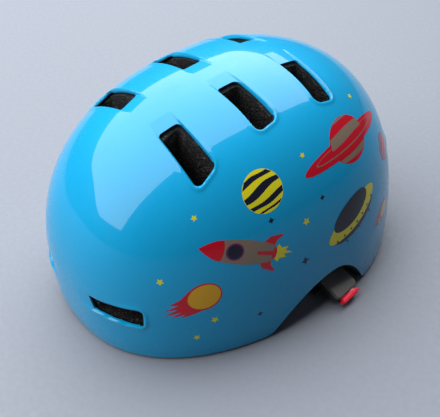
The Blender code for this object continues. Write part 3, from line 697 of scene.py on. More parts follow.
def build_shell():
    """The moulding's two skins, cut finer near the vents and then pushed to their relief."""
    outer, outer_faces, angles = dome_grid(dome_point, SHELL_EDGE_ABOVE_LINER, SHELL_RINGS, SHELL_ROWS)
    inner, inner_faces, inner_angles = dome_grid(shell_inner, SHELL_EDGE_ABOVE_LINER, SHELL_RINGS, SHELL_ROWS)
    work = bmesh.new()
    east_layer = work.verts.layers.float.new("east")
    north_layer = work.verts.layers.float.new("north")
    up_layer = work.verts.layers.float.new("up")
    outer_layer = work.verts.layers.float.new("outer")
    outer_verts = [work.verts.new(p) for p in outer]
    inner_verts = [work.verts.new(p) for p in inner]
    for side_verts, side_angles, is_outer in ((outer_verts, angles, 1.0), (inner_verts, inner_angles, 0.0)):
        for vert, (around, up) in zip(side_verts, side_angles):
            vert[east_layer] = math.cos(around)
            vert[north_layer] = math.sin(around)
            vert[up_layer] = up
            vert[outer_layer] = is_outer
    for corners in outer_faces:
        work.faces.new([outer_verts[c] for c in corners])
    for corners in inner_faces:
        work.faces.new([inner_verts[c] for c in reversed(corners)])
    for i in range(SHELL_RINGS):
        a = i * SHELL_ROWS
        b = ((i + 1) % SHELL_RINGS) * SHELL_ROWS
        work.faces.new((outer_verts[a], inner_verts[a], inner_verts[b], outer_verts[b]))
    for _ in range(2):
        near = []
        for face in work.faces:
            middle = face.calc_center_median()
            for vent in VENTS:
                along, across, above = vent.local(middle)
                inside = vent.start - 3 * MM < along < vent.length / 2 + 6 * MM
                if inside and abs(across) < vent.width / 2 + 5.5 * MM and abs(above) < VENT_REACH:
                    near.append(face)
                    break
        edges = {e for f in near for e in f.edges}
        bmesh.ops.subdivide_edges(work, edges=list(edges), cuts=1, use_grid_fill=True)
    for vert in work.verts:
        around = math.atan2(vert[north_layer], vert[east_layer])
        up = vert[up_layer]
        base = dome_point(around, up)
        if vert.co.z < SHELL_EDGE_ABOVE_LINER + 6 * MM or up > math.pi / 2 - 0.05:
            continue
        height = relief_at(base)
        if abs(height) < 1e-7 or base.z < vert.co.z - 1 * MM:
            continue
        if vert[outer_layer] > 0.99:
            vert.co = base + dome_normal(around, up) * height
        elif vert[outer_layer] < 0.01:
            vert.co = shell_inner(around, up) + dome_normal(around, up) * min(height, 0.0)
    mesh = bpy.data.meshes.new("shell_moulding")
    bmesh.ops.recalc_face_normals(work, faces=work.faces)
    work.to_mesh(mesh)
    work.free()
    return add_object("shell_moulding", mesh)


def rounded_corners(corners, grow, squeeze=1.0):
    """An outline through four corners, each turned with its own radius."""
    outline = []
    count = len(corners)
    for i, (u, v, radius) in enumerate(corners):
        radius = max(radius, 0.8 * MM - grow)
        here = Vector((u * squeeze, v))
        before = Vector((corners[i - 1][0] * squeeze, corners[i - 1][1])) - here
        after = Vector((corners[(i + 1) % count][0] * squeeze, corners[(i + 1) % count][1])) - here
        before.normalize()
        after.normalize()
        half_angle = before.angle(after) / 2
        reach = radius / math.tan(half_angle)
        first = here + before * reach
        last = here + after * reach
        hub = here + (before + after).normalized() * (radius / math.sin(half_angle))
        start = math.atan2(first.y - hub.y, first.x - hub.x)
        sweep = math.atan2(last.y - hub.y, last.x - hub.x) - start
        sweep = (sweep + math.pi) % (2 * math.pi) - math.pi
        for k in range(9):
            angle = start + sweep * k / 8
            outline.append((hub.x + (radius + grow) * math.cos(angle),
                            hub.y + (radius + grow) * math.sin(angle)))
    return outline


def vent_cutter(vent, inset, straight, depth):
    """A rounded bar through the wall at a vent, along the vent's normal or straight down or back."""
    if straight:
        across = Vector((0, 1, 0)) if vent.is_top else Vector((0, 0, 1))
        along = Vector((1 if vent.out.x > 0 else -1, 0, 0))
        outline = rounded_corners(vent.corners, -inset, abs(vent.out.x))
    else:
        along = vent.out
        across = vent.over
        outline = rounded_corners(vent.corners, -inset)
    return prism(outline, vent.centre, along, across, depth)


def notch_cutter(grow):
    half = NOTCH_HALF_WIDTH + grow
    top = NOTCH_HEIGHT + grow
    outline = [(-half, -0.02), (half, -0.02)]
    for quadrant in (0, 1):
        side = 1 if quadrant == 0 else -1
        for i in range(13):
            angle = math.pi / 2 * (quadrant + i / 12)
            outline.append((side * (half - NOTCH_CORNER) + NOTCH_CORNER * math.cos(angle),
                            top - NOTCH_CORNER + NOTCH_CORNER * math.sin(angle)))
    return prism(outline, (0, 0.10, 0), (1, 0, 0), (0, 0, 1), 0.05)


def set_dome_normals(thing):
    """Exact normals where the surface is plain dome, so that reflections run clean over it."""
    mesh = thing.data
    smooth(mesh, 38.0)
    corner_normals = [n.vector.copy() for n in mesh.corner_normals]
    known = {}
    for face in mesh.polygons:
        for loop_index in face.loop_indices:
            index = mesh.loops[loop_index].vertex_index
            if index not in known:
                known[index] = plain_dome_normal(mesh.vertices[index].co)
            normal = known[index]
            if normal is not None and face.normal.dot(normal) > 0.97:
                corner_normals[loop_index] = normal
    mesh.normals_split_custom_set(corner_normals)


PLAIN = {}


def plain_dome_normal(point):
    """The dome's normal at a point on it, or None near a vent or off the surface."""
    _, _, index, distance = PLAIN["tree"].find_nearest(point)
    if distance > 0.05 * MM:
        return None
    for vent in VENTS:
        along, across, above = vent.local(point)
        if abs(above) < 14 * MM and -36 * MM < along < 24 * MM and abs(across) < 13 * MM:
            return None
    corners = PLAIN["faces"][index]
    weights = [1.0 / ((PLAIN["points"][c] - point).length + 1e-7) for c in corners]
    blended = Vector((0, 0, 0))
    for corner, weight in zip(corners, weights):
        blended += PLAIN["normals"][corner] * weight
    return blended.normalized()


def remember_plain_dome():
    points, faces, angles = dome_grid(dome_point, SHELL_EDGE_ABOVE_LINER, SHELL_RINGS, SHELL_ROWS)
    PLAIN["points"] = points
    PLAIN["faces"] = faces
    PLAIN["normals"] = [dome_normal(around, up) for around, up in angles]
    PLAIN["normals"][-1] = Vector((0, 0, 1))
    PLAIN["tree"] = BVHTree.FromPolygons(points, faces)


remember_plain_dome()
shell_moulding = build_shell()
for vent in VENTS:
    boolean(shell_moulding, vent_cutter(vent, 0.0, False, 14 * MM))
boolean(shell_moulding, notch_cutter(1.0 * MM))
set_dome_normals(shell_moulding)
finish_piece(shell_moulding, "helmet", "shell_blue", SHELL_BLUE, "outer_shell")


# ======================= liner =======================
LINER_GAP = 0.35 * MM


def liner_outer(around, up):
    return dome_inset(around, up, wall_at(up) + LINER_GAP + hollow_at(dome_point(around, up)))


def closed_bowl(name, outer, inner, rings, rows):
    outer_points, outer_faces, _ = dome_grid(outer, 0.0, rings, rows)
    inner_points, inner_faces, _ = dome_grid(inner, 0.0, rings, rows)
    base = len(outer_points)
    faces = list(outer_faces)
    faces += [tuple(base + c for c in reversed(corners)) for corners in inner_faces]
    for i in range(rings):
        a = i * rows
        b = ((i + 1) % rings) * rows
        faces.append((a, base + a, base + b, b))
    return mesh_object(name, outer_points + inner_points, faces)


def build_liner():
    """The moulded liner, with its vents cut straight through and the nape notch."""
    liner = closed_bowl("liner_foam", liner_outer, cavity_point, 200, 56)
    for vent in VENTS:
        boolean(liner, vent_cutter(vent, 1.2 * MM, True, 50 * MM))
    boolean(liner, notch_cutter(0.0))
    bevel(liner, 0.7 * MM, 2, 50.0, 35.0)
    finish_piece(liner, "helmet", "foam_black", FOAM, "foam_liner")


build_liner()


# ======================= comfort pads =======================
PAD_THICKNESS = 5 * MM
PAD_INSET = 2.5 * MM
CLOTH_FRAMES = 20
SEAM_REACH = 2.6 * MM
SEAM_POINTS = 160
PADS = {
    "brow_pad": ((-128, -52), (17, 29)),
    "side_pad_left": ((-38, 18), (24, 38)),
    "side_pad_right": ((162, 218), (24, 38)),
    "crown_pad_left": ((2, 38), (60, 78)),
    "crown_pad_right": ((142, 178), (60, 78)),
    "rear_pad_left": ((52, 82), (36, 48)),
    "rear_pad_right": ((98, 128), (36, 48)),
}


def rounded_share(t, corner):
    """How far a pad's edge is from its end, 0 to 1, for rounding the pad's corners."""
    edge = min(t, 1 - t) / corner
    return 1.0 if edge >= 1 else math.sqrt(max(1 - (1 - edge) ** 2, 0.0))


def pad_form(name, arounds, ups, thickness):
    """A closed pad with rounded corners that lies on the liner's inner face."""
    columns = 34
    rows = 16
    vertices = []
    middle = (ups[0] + ups[1]) / 2
    half = (ups[1] - ups[0]) / 2
    for is_top in (False, True):
        for j in range(rows + 1):
            for i in range(columns + 1):
                t = i / columns
                reach = 0.25 + 0.75 * rounded_share(t, 0.16)
                around = math.radians(arounds[0] + (arounds[1] - arounds[0]) * t)
                up = math.radians(middle + half * reach * (-1 + 2 * j / rows))
                depth = PAD_INSET
                if is_top:
                    border = min(rounded_share(t, 0.07), rounded_share(j / rows, 0.16))
                    depth += thickness * (0.30 + 0.70 * border)
                vertices.append(cavity_point(around, up, depth))
    return mesh_object(name, vertices, cushion_faces(columns, rows), 70.0)


def swell(thing, limit):
    """Blow a pad up a little as cloth, and hold each point near where it started."""
    remesh = thing.modifiers.new("remesh", "REMESH")
    remesh.mode = "VOXEL"
    remesh.voxel_size = 1.6 * MM
    apply_modifiers(thing, 70.0)
    start = [v.co.copy() for v in thing.data.vertices]
    cloth = thing.modifiers.new("cloth", "CLOTH")
    settings = cloth.settings
    settings.effector_weights.gravity = 0.0
    settings.use_pressure = True
    settings.uniform_pressure_force = 4.0
    settings.quality = 5
    settings.mass = 0.15
    settings.tension_stiffness = 15
    settings.compression_stiffness = 15
    settings.shear_stiffness = 5
    settings.bending_stiffness = 0.4
    cloth.collision_settings.use_collision = False
    cloth.point_cache.frame_start = 1
    cloth.point_cache.frame_end = CLOTH_FRAMES
    scene = bpy.context.scene
    for frame_number in range(1, CLOTH_FRAMES + 1):
        scene.frame_set(frame_number)
    graph = bpy.context.evaluated_depsgraph_get()
    moved = thing.evaluated_get(graph).to_mesh()
    after = [v.co.copy() for v in moved.vertices]
    thing.evaluated_get(graph).to_mesh_clear()
    thing.modifiers.clear()
    for vertex, old, new in zip(thing.data.vertices, start, after):
        step = new - old
        if step.length > limit:
            step = step.normalized() * limit
        vertex.co = old + step
    scene.frame_set(1)


def press_seam(thing, name):
    """A dip along a sewn line a few millimetres inside the pad's edge."""
    arounds, ups = PADS[name]
    points = []
    middle = (ups[0] + ups[1]) / 2
    half = (ups[1] - ups[0]) / 2
    for i in range(SEAM_POINTS + 1):
        angle = 2 * math.pi * (i / SEAM_POINTS)
        u = signed_power(math.cos(angle), 0.35) * 0.93
        v = signed_power(math.sin(angle), 0.35) * 0.80
        around = math.radians((arounds[0] + arounds[1]) / 2 + (arounds[1] - arounds[0]) / 2 * u)
        points.append(cavity_point(around, math.radians(middle + half * v), PAD_INSET + PAD_THICKNESS * 0.8))
    cells = [(i, (i + 1) % SEAM_POINTS, (i + 2) % SEAM_POINTS) for i in range(SEAM_POINTS - 1)]
    tree = BVHTree.FromPolygons(points, cells)
    for vertex in thing.data.vertices:
        _, _, _, distance = tree.find_nearest(vertex.co)
        if distance is not None and distance < SEAM_REACH:
            around = math.atan2(vertex.co.y / CAVITY_HALF_LENGTH, vertex.co.x / CAVITY_HALF_WIDTH)
            outward = Vector((math.cos(around), math.sin(around), 0.7)).normalized()
            if vertex.normal.dot(outward) < 0.3:
                vertex.co += outward * 0.7 * MM * (1 - (distance / SEAM_REACH) ** 2) ** 2


def build_pads():
    for name, (arounds, ups) in PADS.items():
        pad = pad_form(name + "_cushion", arounds, ups, PAD_THICKNESS * 0.86)
        swell(pad, 1.2 * MM)
        press_seam(pad, name)
        finish_cushion(pad, "helmet", name)


build_pads()
for hook_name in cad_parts:
    if "hook_tape" in hook_name:
        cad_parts[hook_name].data.materials[0] = HOOKS


# ======================= refined hard parts =======================
def refine(node, name, body, slot, material, width, segments):
    """A CAD part with moulded radii: the same shape, with its flat facets joined and its edges rounded."""
    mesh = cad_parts[node].data.copy()
    work = bmesh.new()
    work.from_mesh(mesh)
    bmesh.ops.remove_doubles(work, verts=work.verts, dist=2e-6)
    bmesh.ops.dissolve_limit(work, angle_limit=math.radians(2.0), verts=work.verts, edges=work.edges)
    work.to_mesh(mesh)
    work.free()
    made = add_object(name, mesh)
    mesh.materials.clear()
    smooth(mesh, 30.0)
    bevel(made, width, segments, 28.0, 40.0)
    finish_piece(made, body, slot, material, node)


def bar(start, end, radius, up, sides=8):
    """Corners and faces of a short bar with rounded ends, for stitches and grips."""
    start = Vector(start)
    end = Vector(end)
    axis = (end - start).normalized()
    side = axis.cross(Vector(up)).normalized()
    top = side.cross(axis)
    rings = ((0.0, 0.35), (0.12, 0.85), (0.30, 1.0), (0.70, 1.0), (0.88, 0.85), (1.0, 0.35))
    vertices = []
    for share, size in rings:
        centre = start.lerp(end, share)
        for k in range(sides):
            angle = 2 * math.pi * k / sides
            vertices.append(centre + (side * math.cos(angle) + top * math.sin(angle)) * radius * size)
    last = (len(rings) - 1) * sides
    caps = [tuple(range(sides))[::-1], tuple(range(last, last + sides))]
    return vertices, tube_faces(len(rings), sides) + caps


def bars(name, segments, radius, ups, body, slot, material):
    """One piece of many bars. Each has its own up direction, or all share the only one."""
    vertices = []
    faces = []
    for number, (start, end) in enumerate(segments):
        more, cells = bar(start, end, radius, ups[number % len(ups)])
        base = len(vertices)
        vertices += more
        faces += [tuple(base + c for c in cell) for cell in cells]
    finish_piece(mesh_object(name, vertices, faces, 60.0), body, slot, material)


# ======================= webbing =======================
WEB_WIDTH = 15 * MM
WEB_THICKNESS = 1.6 * MM


def smooth_route(points, per_span):
    points = [Vector(p) for p in points]
    padded = [2 * points[0] - points[1]] + points + [2 * points[-1] - points[-2]]
    route = []
    for i in range(1, len(padded) - 2):
        p0, p1, p2, p3 = padded[i - 1:i + 3]
        for j in range(per_span):
            t = j / per_span
            route.append(0.5 * (2 * p1 + (p2 - p0) * t + (2 * p0 - 5 * p1 + 4 * p2 - p3) * t * t
                                + (3 * p1 - p0 - 3 * p2 + p3) * t ** 3))
    route.append(points[-1])
    return route


def wall_station(degrees, height, inset, rise):
    """A place on the cavity's wall, and the way the strap's width lies there."""
    around = math.radians(degrees)
    up = math.asin((height - WIDEST_Z) / (CAVITY_TOP - WIDEST_Z))
    point = cavity_point(around, up, inset)
    level = (cavity_point(around + 0.02, up, inset) - cavity_point(around - 0.02, up, inset)).normalized()
    steep = (cavity_point(around, up + 0.02, inset) - cavity_point(around, up - 0.02, inset)).normalized()
    width_way = level * math.cos(math.radians(rise)) + steep * math.sin(math.radians(rise))
    return tuple(point), tuple(width_way)


FRONT_STRAP = [
    wall_station(-18, 36.0 * MM, 2.0 * MM, 35),
    wall_station(-14, 31.0 * MM, 2.2 * MM, 45),
    wall_station(-10, 26.0 * MM, 2.6 * MM, 60),
    wall_station(-7, 20.5 * MM, 2.2 * MM, 75),
    ((0.0708, -0.0060, 0.0182), (0.0, 0.18, 0.98)),
]
REAR_STRAP = [
    wall_station(29, 35.0 * MM, 2.6 * MM, 135),
    wall_station(25, 30.0 * MM, 2.9 * MM, 125),
    wall_station(21, 25.0 * MM, 3.0 * MM, 115),
    wall_station(18.5, 20.5 * MM, 2.6 * MM, 100),
]
CHIN_STRAP_LEFT = [
    ((0.0700, 0.0125, 0.0088), (0.0, 1.0, 0.0)),
    ((0.0702, 0.0130, 0.0056), (0.0, 1.0, 0.0)),
    ((0.0714, 0.0134, 0.0030), (0.0, 1.0, 0.0)),
    ((0.0740, 0.0138, 0.0018), (0.0, 1.0, 0.0)),
    ((0.0780, 0.0140, 0.0018), (0.0, 1.0, 0.0)),
]
CHIN_STRAP_RIGHT = [
    ((-0.0700, 0.0112, 0.0078), (0.0, 1.0, 0.0)),
    ((-0.0690, 0.0116, 0.0052), (0.0, 1.0, 0.0)),
    ((-0.0660, 0.0118, 0.0030), (0.05, 1.0, 0.0)),
    ((-0.0580, 0.0105, 0.0018), (0.12, 1.0, 0.0)),
    ((-0.0400, 0.0050, 0.0014), (0.25, 1.0, 0.0)),
    ((-0.0150, -0.0040, 0.0014), (0.35, 0.95, 0.0)),
    ((0.0100, -0.0150, 0.0014), (0.38, 0.93, 0.0)),
    ((0.0250, -0.0210, 0.0014), (0.37, 0.93, 0.0)),
]
STRAP_TAIL_RIGHT = [
    ((-0.0733, 0.0120, 0.0100), (0.0, 1.0, 0.0)),
    ((-0.0752, 0.0125, 0.0062), (0.0, 1.0, 0.0)),
    ((-0.0800, 0.0130, 0.0038), (0.0, 1.0, 0.0)),
    ((-0.0870, 0.0135, 0.0026), (0.0, 1.0, 0.0)),
    ((-0.0955, 0.0140, 0.0018), (0.0, 1.0, 0.0)),
]


def mirrored(stations, side):
    return [((side * c[0], c[1], c[2]), (side * w[0], w[1], w[2])) for c, w in stations]


def strap_profile():
    """Half-round selvedges and a flat middle, as (across, up) shares of the width and thickness."""
    points = []
    for i in range(13):
        share = -1 + 2 * i / 12
        points.append((share * 0.94, 0.90 if abs(share) < 0.85 else 1.0))
    ring = points + [(0.985, 0.55), (1.0, 0.0), (0.985, -0.55)]
    ring += [(u, -v) for u, v in points[::-1]] + [(-0.985, -0.55), (-1.0, 0.0), (-0.985, 0.55)]
    return ring


def strap(name, stations, node, stitched_at):
    """Webbing along a route, with U along it and V round it in millimetres, and sewn bars."""
    route = smooth_route([s[0] for s in stations], 14)
    widths = smooth_route([s[1] for s in stations], 14)
    ring = strap_profile()
    count = len(ring)
    vertices = []
    frames = []
    run = [0.0]
    for i, centre in enumerate(route):
        ahead = (route[min(i + 1, len(route) - 1)] - route[max(i - 1, 0)]).normalized()
        across = (widths[i] - ahead * widths[i].dot(ahead)).normalized()
        up = ahead.cross(across)
        frames.append((centre, ahead, across, up))
        if i:
            run.append(run[-1] + (centre - route[i - 1]).length)
        for u, v in ring:
            vertices.append(centre + across * (u * WEB_WIDTH / 2) + up * (v * WEB_THICKNESS / 2))
    last = (len(route) - 1) * count
    faces = [tuple(range(count))[::-1]] + tube_faces(len(route), count) + [tuple(range(last, last + count))]
    mesh = bpy.data.meshes.new(name)
    mesh.from_pydata([tuple(v) for v in vertices], [], faces)
    layer = mesh.uv_layers.new(name="run")
    for loop in mesh.loops:
        i, k = divmod(loop.vertex_index, count)
        layer.data[loop.index].uv = (run[i] / MM, ring[k][0] * WEB_WIDTH / 2 / MM)
    work = bmesh.new()
    work.from_mesh(mesh)
    bmesh.ops.recalc_face_normals(work, faces=work.faces)
    work.to_mesh(mesh)
    work.free()
    smooth(mesh, 50.0)
    finish_piece(add_object(name, mesh), "helmet", "webbing", WEB, node)
    centre, ahead, across, up = frames[int(stitched_at * (len(route) - 1))]
    stitches = []
    for step in range(-3, 4):
        for face_side in (1, -1):
            middle = centre + ahead * step * 0.9 * MM + up * face_side * WEB_THICKNESS * 0.50
            lean = across * 5.2 * MM + ahead * (0.45 * MM if step % 2 else -0.45 * MM)
            stitches.append((middle - lean, middle + lean))
    bars(name + "_stitches", stitches, 0.16 * MM, [up], "helmet", "webbing", THREAD)


def build_straps():
    for side, tag in ((1, "left"), (-1, "right")):
        strap(f"web_front_{tag}", mirrored(FRONT_STRAP, side), f"strap_front_{tag}", 0.16)
        strap(f"web_rear_{tag}", mirrored(REAR_STRAP, side), f"strap_rear_{tag}", 0.18)
    strap("web_chin_left", CHIN_STRAP_LEFT, "chin_strap_left", 0.62)
    strap("web_chin_right", CHIN_STRAP_RIGHT, "chin_strap_right", 0.90)
    strap("web_tail_right", STRAP_TAIL_RIGHT, "strap_tail_right", 0.88)


build_straps()


# ======================= buckle =======================
BUCKLE_SLOPE = math.radians(27.0)
BUCKLE_YAW = math.radians(7.0)
BUCKLE_END = Vector((0.0925, 0.0190, 0.0066))
BUCKLE_OUT = Vector((math.cos(BUCKLE_SLOPE) * math.cos(BUCKLE_YAW),
                     math.cos(BUCKLE_SLOPE) * math.sin(BUCKLE_YAW),
                     -math.sin(BUCKLE_SLOPE)))
BUCKLE_ACROSS = Vector((-math.sin(BUCKLE_YAW), math.cos(BUCKLE_YAW), 0))
BUCKLE_UP = BUCKLE_OUT.cross(BUCKLE_ACROSS)
SPRING_SPAN = (-14.7, -10.4)


def buckle_spot(along, sideways, above):
    """A place on the buckle, in millimetres from the middle of its outer end."""
    return BUCKLE_END + BUCKLE_OUT * along * MM + BUCKLE_ACROSS * sideways * MM + BUCKLE_UP * above * MM


def build_return_spring():
    """The button's helical spring, built at one fixed length; the real spring shortens as the button goes in.
    """
    turns = 3
    steps = 36 * turns
    sides = 10
    radius = 0.90 * MM
    wire = 0.22 * MM
    start = SPRING_SPAN[0] * MM + wire
    length = (SPRING_SPAN[1] - SPRING_SPAN[0]) * MM - 2 * wire
    vertices = []
    for i in range(steps + 1):
        angle = 2 * math.pi * turns * i / steps
        radial = BUCKLE_ACROSS * math.cos(angle) + BUCKLE_UP * math.sin(angle)
        centre = (BUCKLE_END + BUCKLE_OUT * (start + length * i / steps) + BUCKLE_UP * 0.1 * MM
                  + radial * radius)
        for k in range(sides):
            turn = 2 * math.pi * k / sides
            vertices.append(centre + radial * (wire * math.cos(turn)) + BUCKLE_OUT * (wire * math.sin(turn)))
    faces = tube_faces(steps + 1, sides)
    faces.append(tuple(range(sides)))
    faces.append(tuple(range((steps + 1) * sides - 1, steps * sides - 1, -1)))
    spring = mesh_object("return_spring", vertices, faces, 60.0)
    finish_piece(spring, "helmet", "steel", STEEL, "button_spring")
    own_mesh(spring)


def build_buckle():
    # The socket base takes the black nylon, darker than the cover's grey: painted shade, so that its side
    # matches the shadow under the arch.
    refine("buckle_base", "socket_base", "helmet", "grey_plastic", NYLON, 0.9 * MM, 4)
    refine("buckle_cover", "socket_cover", "helmet", "grey_plastic", NYLON_GREY, 1.2 * MM, 5)
    refine("release_button", "push_button", "button", "red_plastic", RED, 0.45 * MM, 3)
    refine("buckle_tongue", "tongue_plate", "helmet", "red_plastic", RED, 0.35 * MM, 3)
    build_return_spring()
    ribs = [(buckle_spot(4.1, place, -1.5), buckle_spot(4.1, place, 2.2))
            for place in (-5.6, -3.4, -1.15, 1.15, 3.4, 5.6)]
    bars("button_grip", ribs, 0.62 * MM, [BUCKLE_OUT], "button", "red_plastic", RED)
    ridges = [(buckle_spot(along, -6.0, 3.35), buckle_spot(along, 6.0, 3.35))
              for along in (-16.5, -14.9, -13.3)]
    bars("socket_ridges", ridges, 0.32 * MM, [BUCKLE_UP], "helmet", "grey_plastic", NYLON_GREY)


build_buckle()


# ======================= fit system =======================
KNOB_Y = 84 * MM
DIAL_Z = 16 * MM


def build_knob():
    """The dial: a scalloped rim with rubbery grips round a dished face."""
    profile = [(1.8, 0.0), (4.6, 0.0), (4.6, 3.0), (11.2, 3.0), (11.2, 0.0), (12.9, 0.0), (13.2, 0.3),
               (13.6, 1.0), (13.75, 2.0), (13.8, 4.6), (13.75, 7.2), (13.4, 8.3), (12.7, 9.0), (11.9, 9.15),
               (11.2, 8.8), (10.4, 8.3), (8.5, 8.0), (6.3, 8.2), (5.2, 8.7), (4.4, 9.1), (4.2, 8.9),
               (4.15, 7.3), (1.8, 7.2)]
    segments = 216
    vertices = []
    faces = []
    for radius, height in profile:
        for i in range(segments):
            angle = 2 * math.pi * i / segments
            lobe = 0.5 + 0.5 * math.cos(24 * angle)
            grip = smoothstep(12.4, 13.4, radius) * (1 - smoothstep(8.0, 9.0, height))
            shown = radius - 0.85 * grip * (1 - lobe ** 0.6) * smoothstep(0.2, 1.4, height)
            vertices.append(Vector((shown * MM * math.cos(angle), KNOB_Y + height * MM,
                                    DIAL_Z + shown * MM * math.sin(angle))))
    rows = len(profile)
    for j in range(rows):
        for i in range(segments):
            k = (i + 1) % segments
            n = (j + 1) % rows
            faces.append((j * segments + i, j * segments + k, n * segments + k, n * segments + i))
    knob = mesh_object("dial_grip", vertices, faces, 40.0)
    finish_piece(knob, "dial", "dark_plastic", NYLON, "dial_knob")
    marks = []
    centre = Vector((0, KNOB_Y + 8.15 * MM, DIAL_Z))
    for i in range(12):
        angle = math.radians(30 * i + 15)
        ray = Vector((math.cos(angle), 0, math.sin(angle)))
        marks.append((centre + ray * 7.2 * MM, centre + ray * 9.6 * MM))
    bars("dial_marks", marks, 0.38 * MM, [(0, 1, 0)], "dial", "dark_plastic", NYLON)


def plastic(node, name, body, width, segments):
    refine(node, name, body, "dark_plastic", NYLON, width, segments)


def build_fit_system():
    build_knob()
    plastic("drive_gear", "pinion", "dial", 0.10 * MM, 2)
    refine("dial_screw", "axle_screw", "dial", "steel", STEEL, 0.25 * MM, 3)
    plastic("cradle_base", "cradle_shell", "cradle", 1.1 * MM, 4)
    plastic("cradle_cover", "cradle_lid", "cradle", 0.7 * MM, 3)
    plastic("cradle_hanger", "hanger_strip", "helmet", 0.35 * MM, 2)
    plastic("adjuster_arm_left", "arm_left", "left_arm", 0.25 * MM, 2)
    plastic("adjuster_arm_right", "arm_right", "right_arm", 0.25 * MM, 2)
    plastic("front_band", "brow_band", "helmet", 0.35 * MM, 2)
    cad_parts["detent_spring"].data.materials[0] = STEEL
    for tag in ("left", "right"):
        plastic(f"band_rivet_{tag}", f"push_rivet_{tag}", "helmet", 0.3 * MM, 3)
        plastic(f"strap_divider_{tag}", f"divider_plate_{tag}", "helmet", 0.35 * MM, 3)
        plastic(f"divider_lever_{tag}", f"cam_lever_{tag}", f"lever_{tag}", 0.3 * MM, 3)
        for place in ("front", "rear"):
            plastic(f"strap_anchor_{place}_{tag}", f"anchor_plug_{place}_{tag}", "helmet", 0.5 * MM, 3)
    plastic("strap_keeper", "keeper_loop", "keeper", 0.25 * MM, 2)


def build_nape_pad():
    """Two crowned cushions joined over the hanger's groove."""
    low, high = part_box("nape_pad")
    columns = 40
    rows = 22
    vertices = []
    for is_front in (False, True):
        for j in range(rows + 1):
            for i in range(columns + 1):
                s = -1 + 2 * i / columns
                t = -1 + 2 * j / rows
                corner = (abs(s) ** 4 + abs(t) ** 4) ** 0.25
                pull = 1.0 if corner < 1e-6 else max(abs(s), abs(t)) / corner
                x = (low.x + high.x) / 2 + (high.x - low.x) / 2 * 0.985 * s * pull
                z = (low.z + high.z) / 2 + (high.z - low.z) / 2 * 0.985 * t * pull
                crown = math.sqrt(max(1 - max(abs(s), abs(t)) ** 6, 0.0))
                if is_front:
                    seam = math.exp(-(s / 0.09) ** 2)
                    y = low.y + 2.2 * MM - 2.2 * MM * crown * (1 - 0.75 * seam)
                else:
                    y = high.y - (0.3 * MM if abs(x) > 7.4 * MM else 3.7 * MM) - 1.2 * MM * (1 - crown)
                vertices.append(Vector((x, y, z)))
    pad = mesh_object("nape_cushion", vertices, cushion_faces(columns, rows), 60.0)
    finish_cushion(pad, "cradle", "nape_pad")


build_fit_system()
build_nape_pad()


# ======================= printed graphics =======================
def ellipse(centre, radii, count=48):
    points = []
    for i in range(count):
        angle = math.radians(360.0 * i / count)
        points.append((centre[0] + radii[0] * math.cos(angle), centre[1] + radii[1] * math.sin(angle)))
    return points


def star_outline(radius, arms, waist):
    points = []
    for i in range(2 * arms):
        reach = radius if i % 2 == 0 else radius * waist
        angle = math.radians(90.0 + 180.0 * i / arms)
        points.append((reach * math.cos(angle), reach * math.sin(angle)))
    return points


def both_sides(half):
    """A closed outline from its upper half. A point on the middle line isn't repeated."""
    return half + [(u, -v) for u, v in half[::-1] if v]


def clip_to_ellipse(outline, centre, radii):
    """Pull points of an outline that lie outside an ellipse back onto it."""
    clipped = []
    for u, v in outline:
        a = (u - centre[0]) / radii[0]
        b = (v - centre[1]) / radii[1]
        reach = max(math.hypot(a, b), 1.0)
        clipped.append((centre[0] + a / reach * radii[0], centre[1] + b / reach * radii[1]))
    return clipped


def band_across(centre, radius, low, high, wobble, turn, count=40):
    """A wavy stripe across a disc, between two heights, as an outline."""
    tilt = math.radians(turn)
    lower = []
    upper = []
    for i in range(count + 1):
        s = -1 + 2 * i / count
        for height, points in ((low, lower), (high, upper)):
            v = height + wobble * math.sin(2.4 * s + 3 * height / radius)
            v = min(max(v, -radius), radius)
            reach = math.sqrt(max(radius * radius - v * v, 0.0))
            u = s * reach
            points.append((centre[0] + u * math.cos(tilt) - v * math.sin(tilt),
                           centre[1] + u * math.sin(tilt) + v * math.cos(tilt)))
    return lower + upper[::-1]


def densify(outline, step):
    points = []
    for i, start in enumerate(outline):
        end = outline[(i + 1) % len(outline)]
        pieces = max(1, int(math.hypot(end[0] - start[0], end[1] - start[1]) / step))
        for k in range(pieces):
            t = k / pieces
            points.append((start[0] + (end[0] - start[0]) * t, start[1] + (end[1] - start[1]) * t))
    return points


PRINT_CELL = 2.0             # the prints are cut into cells of this size, in millimetres
PRINTS = {}


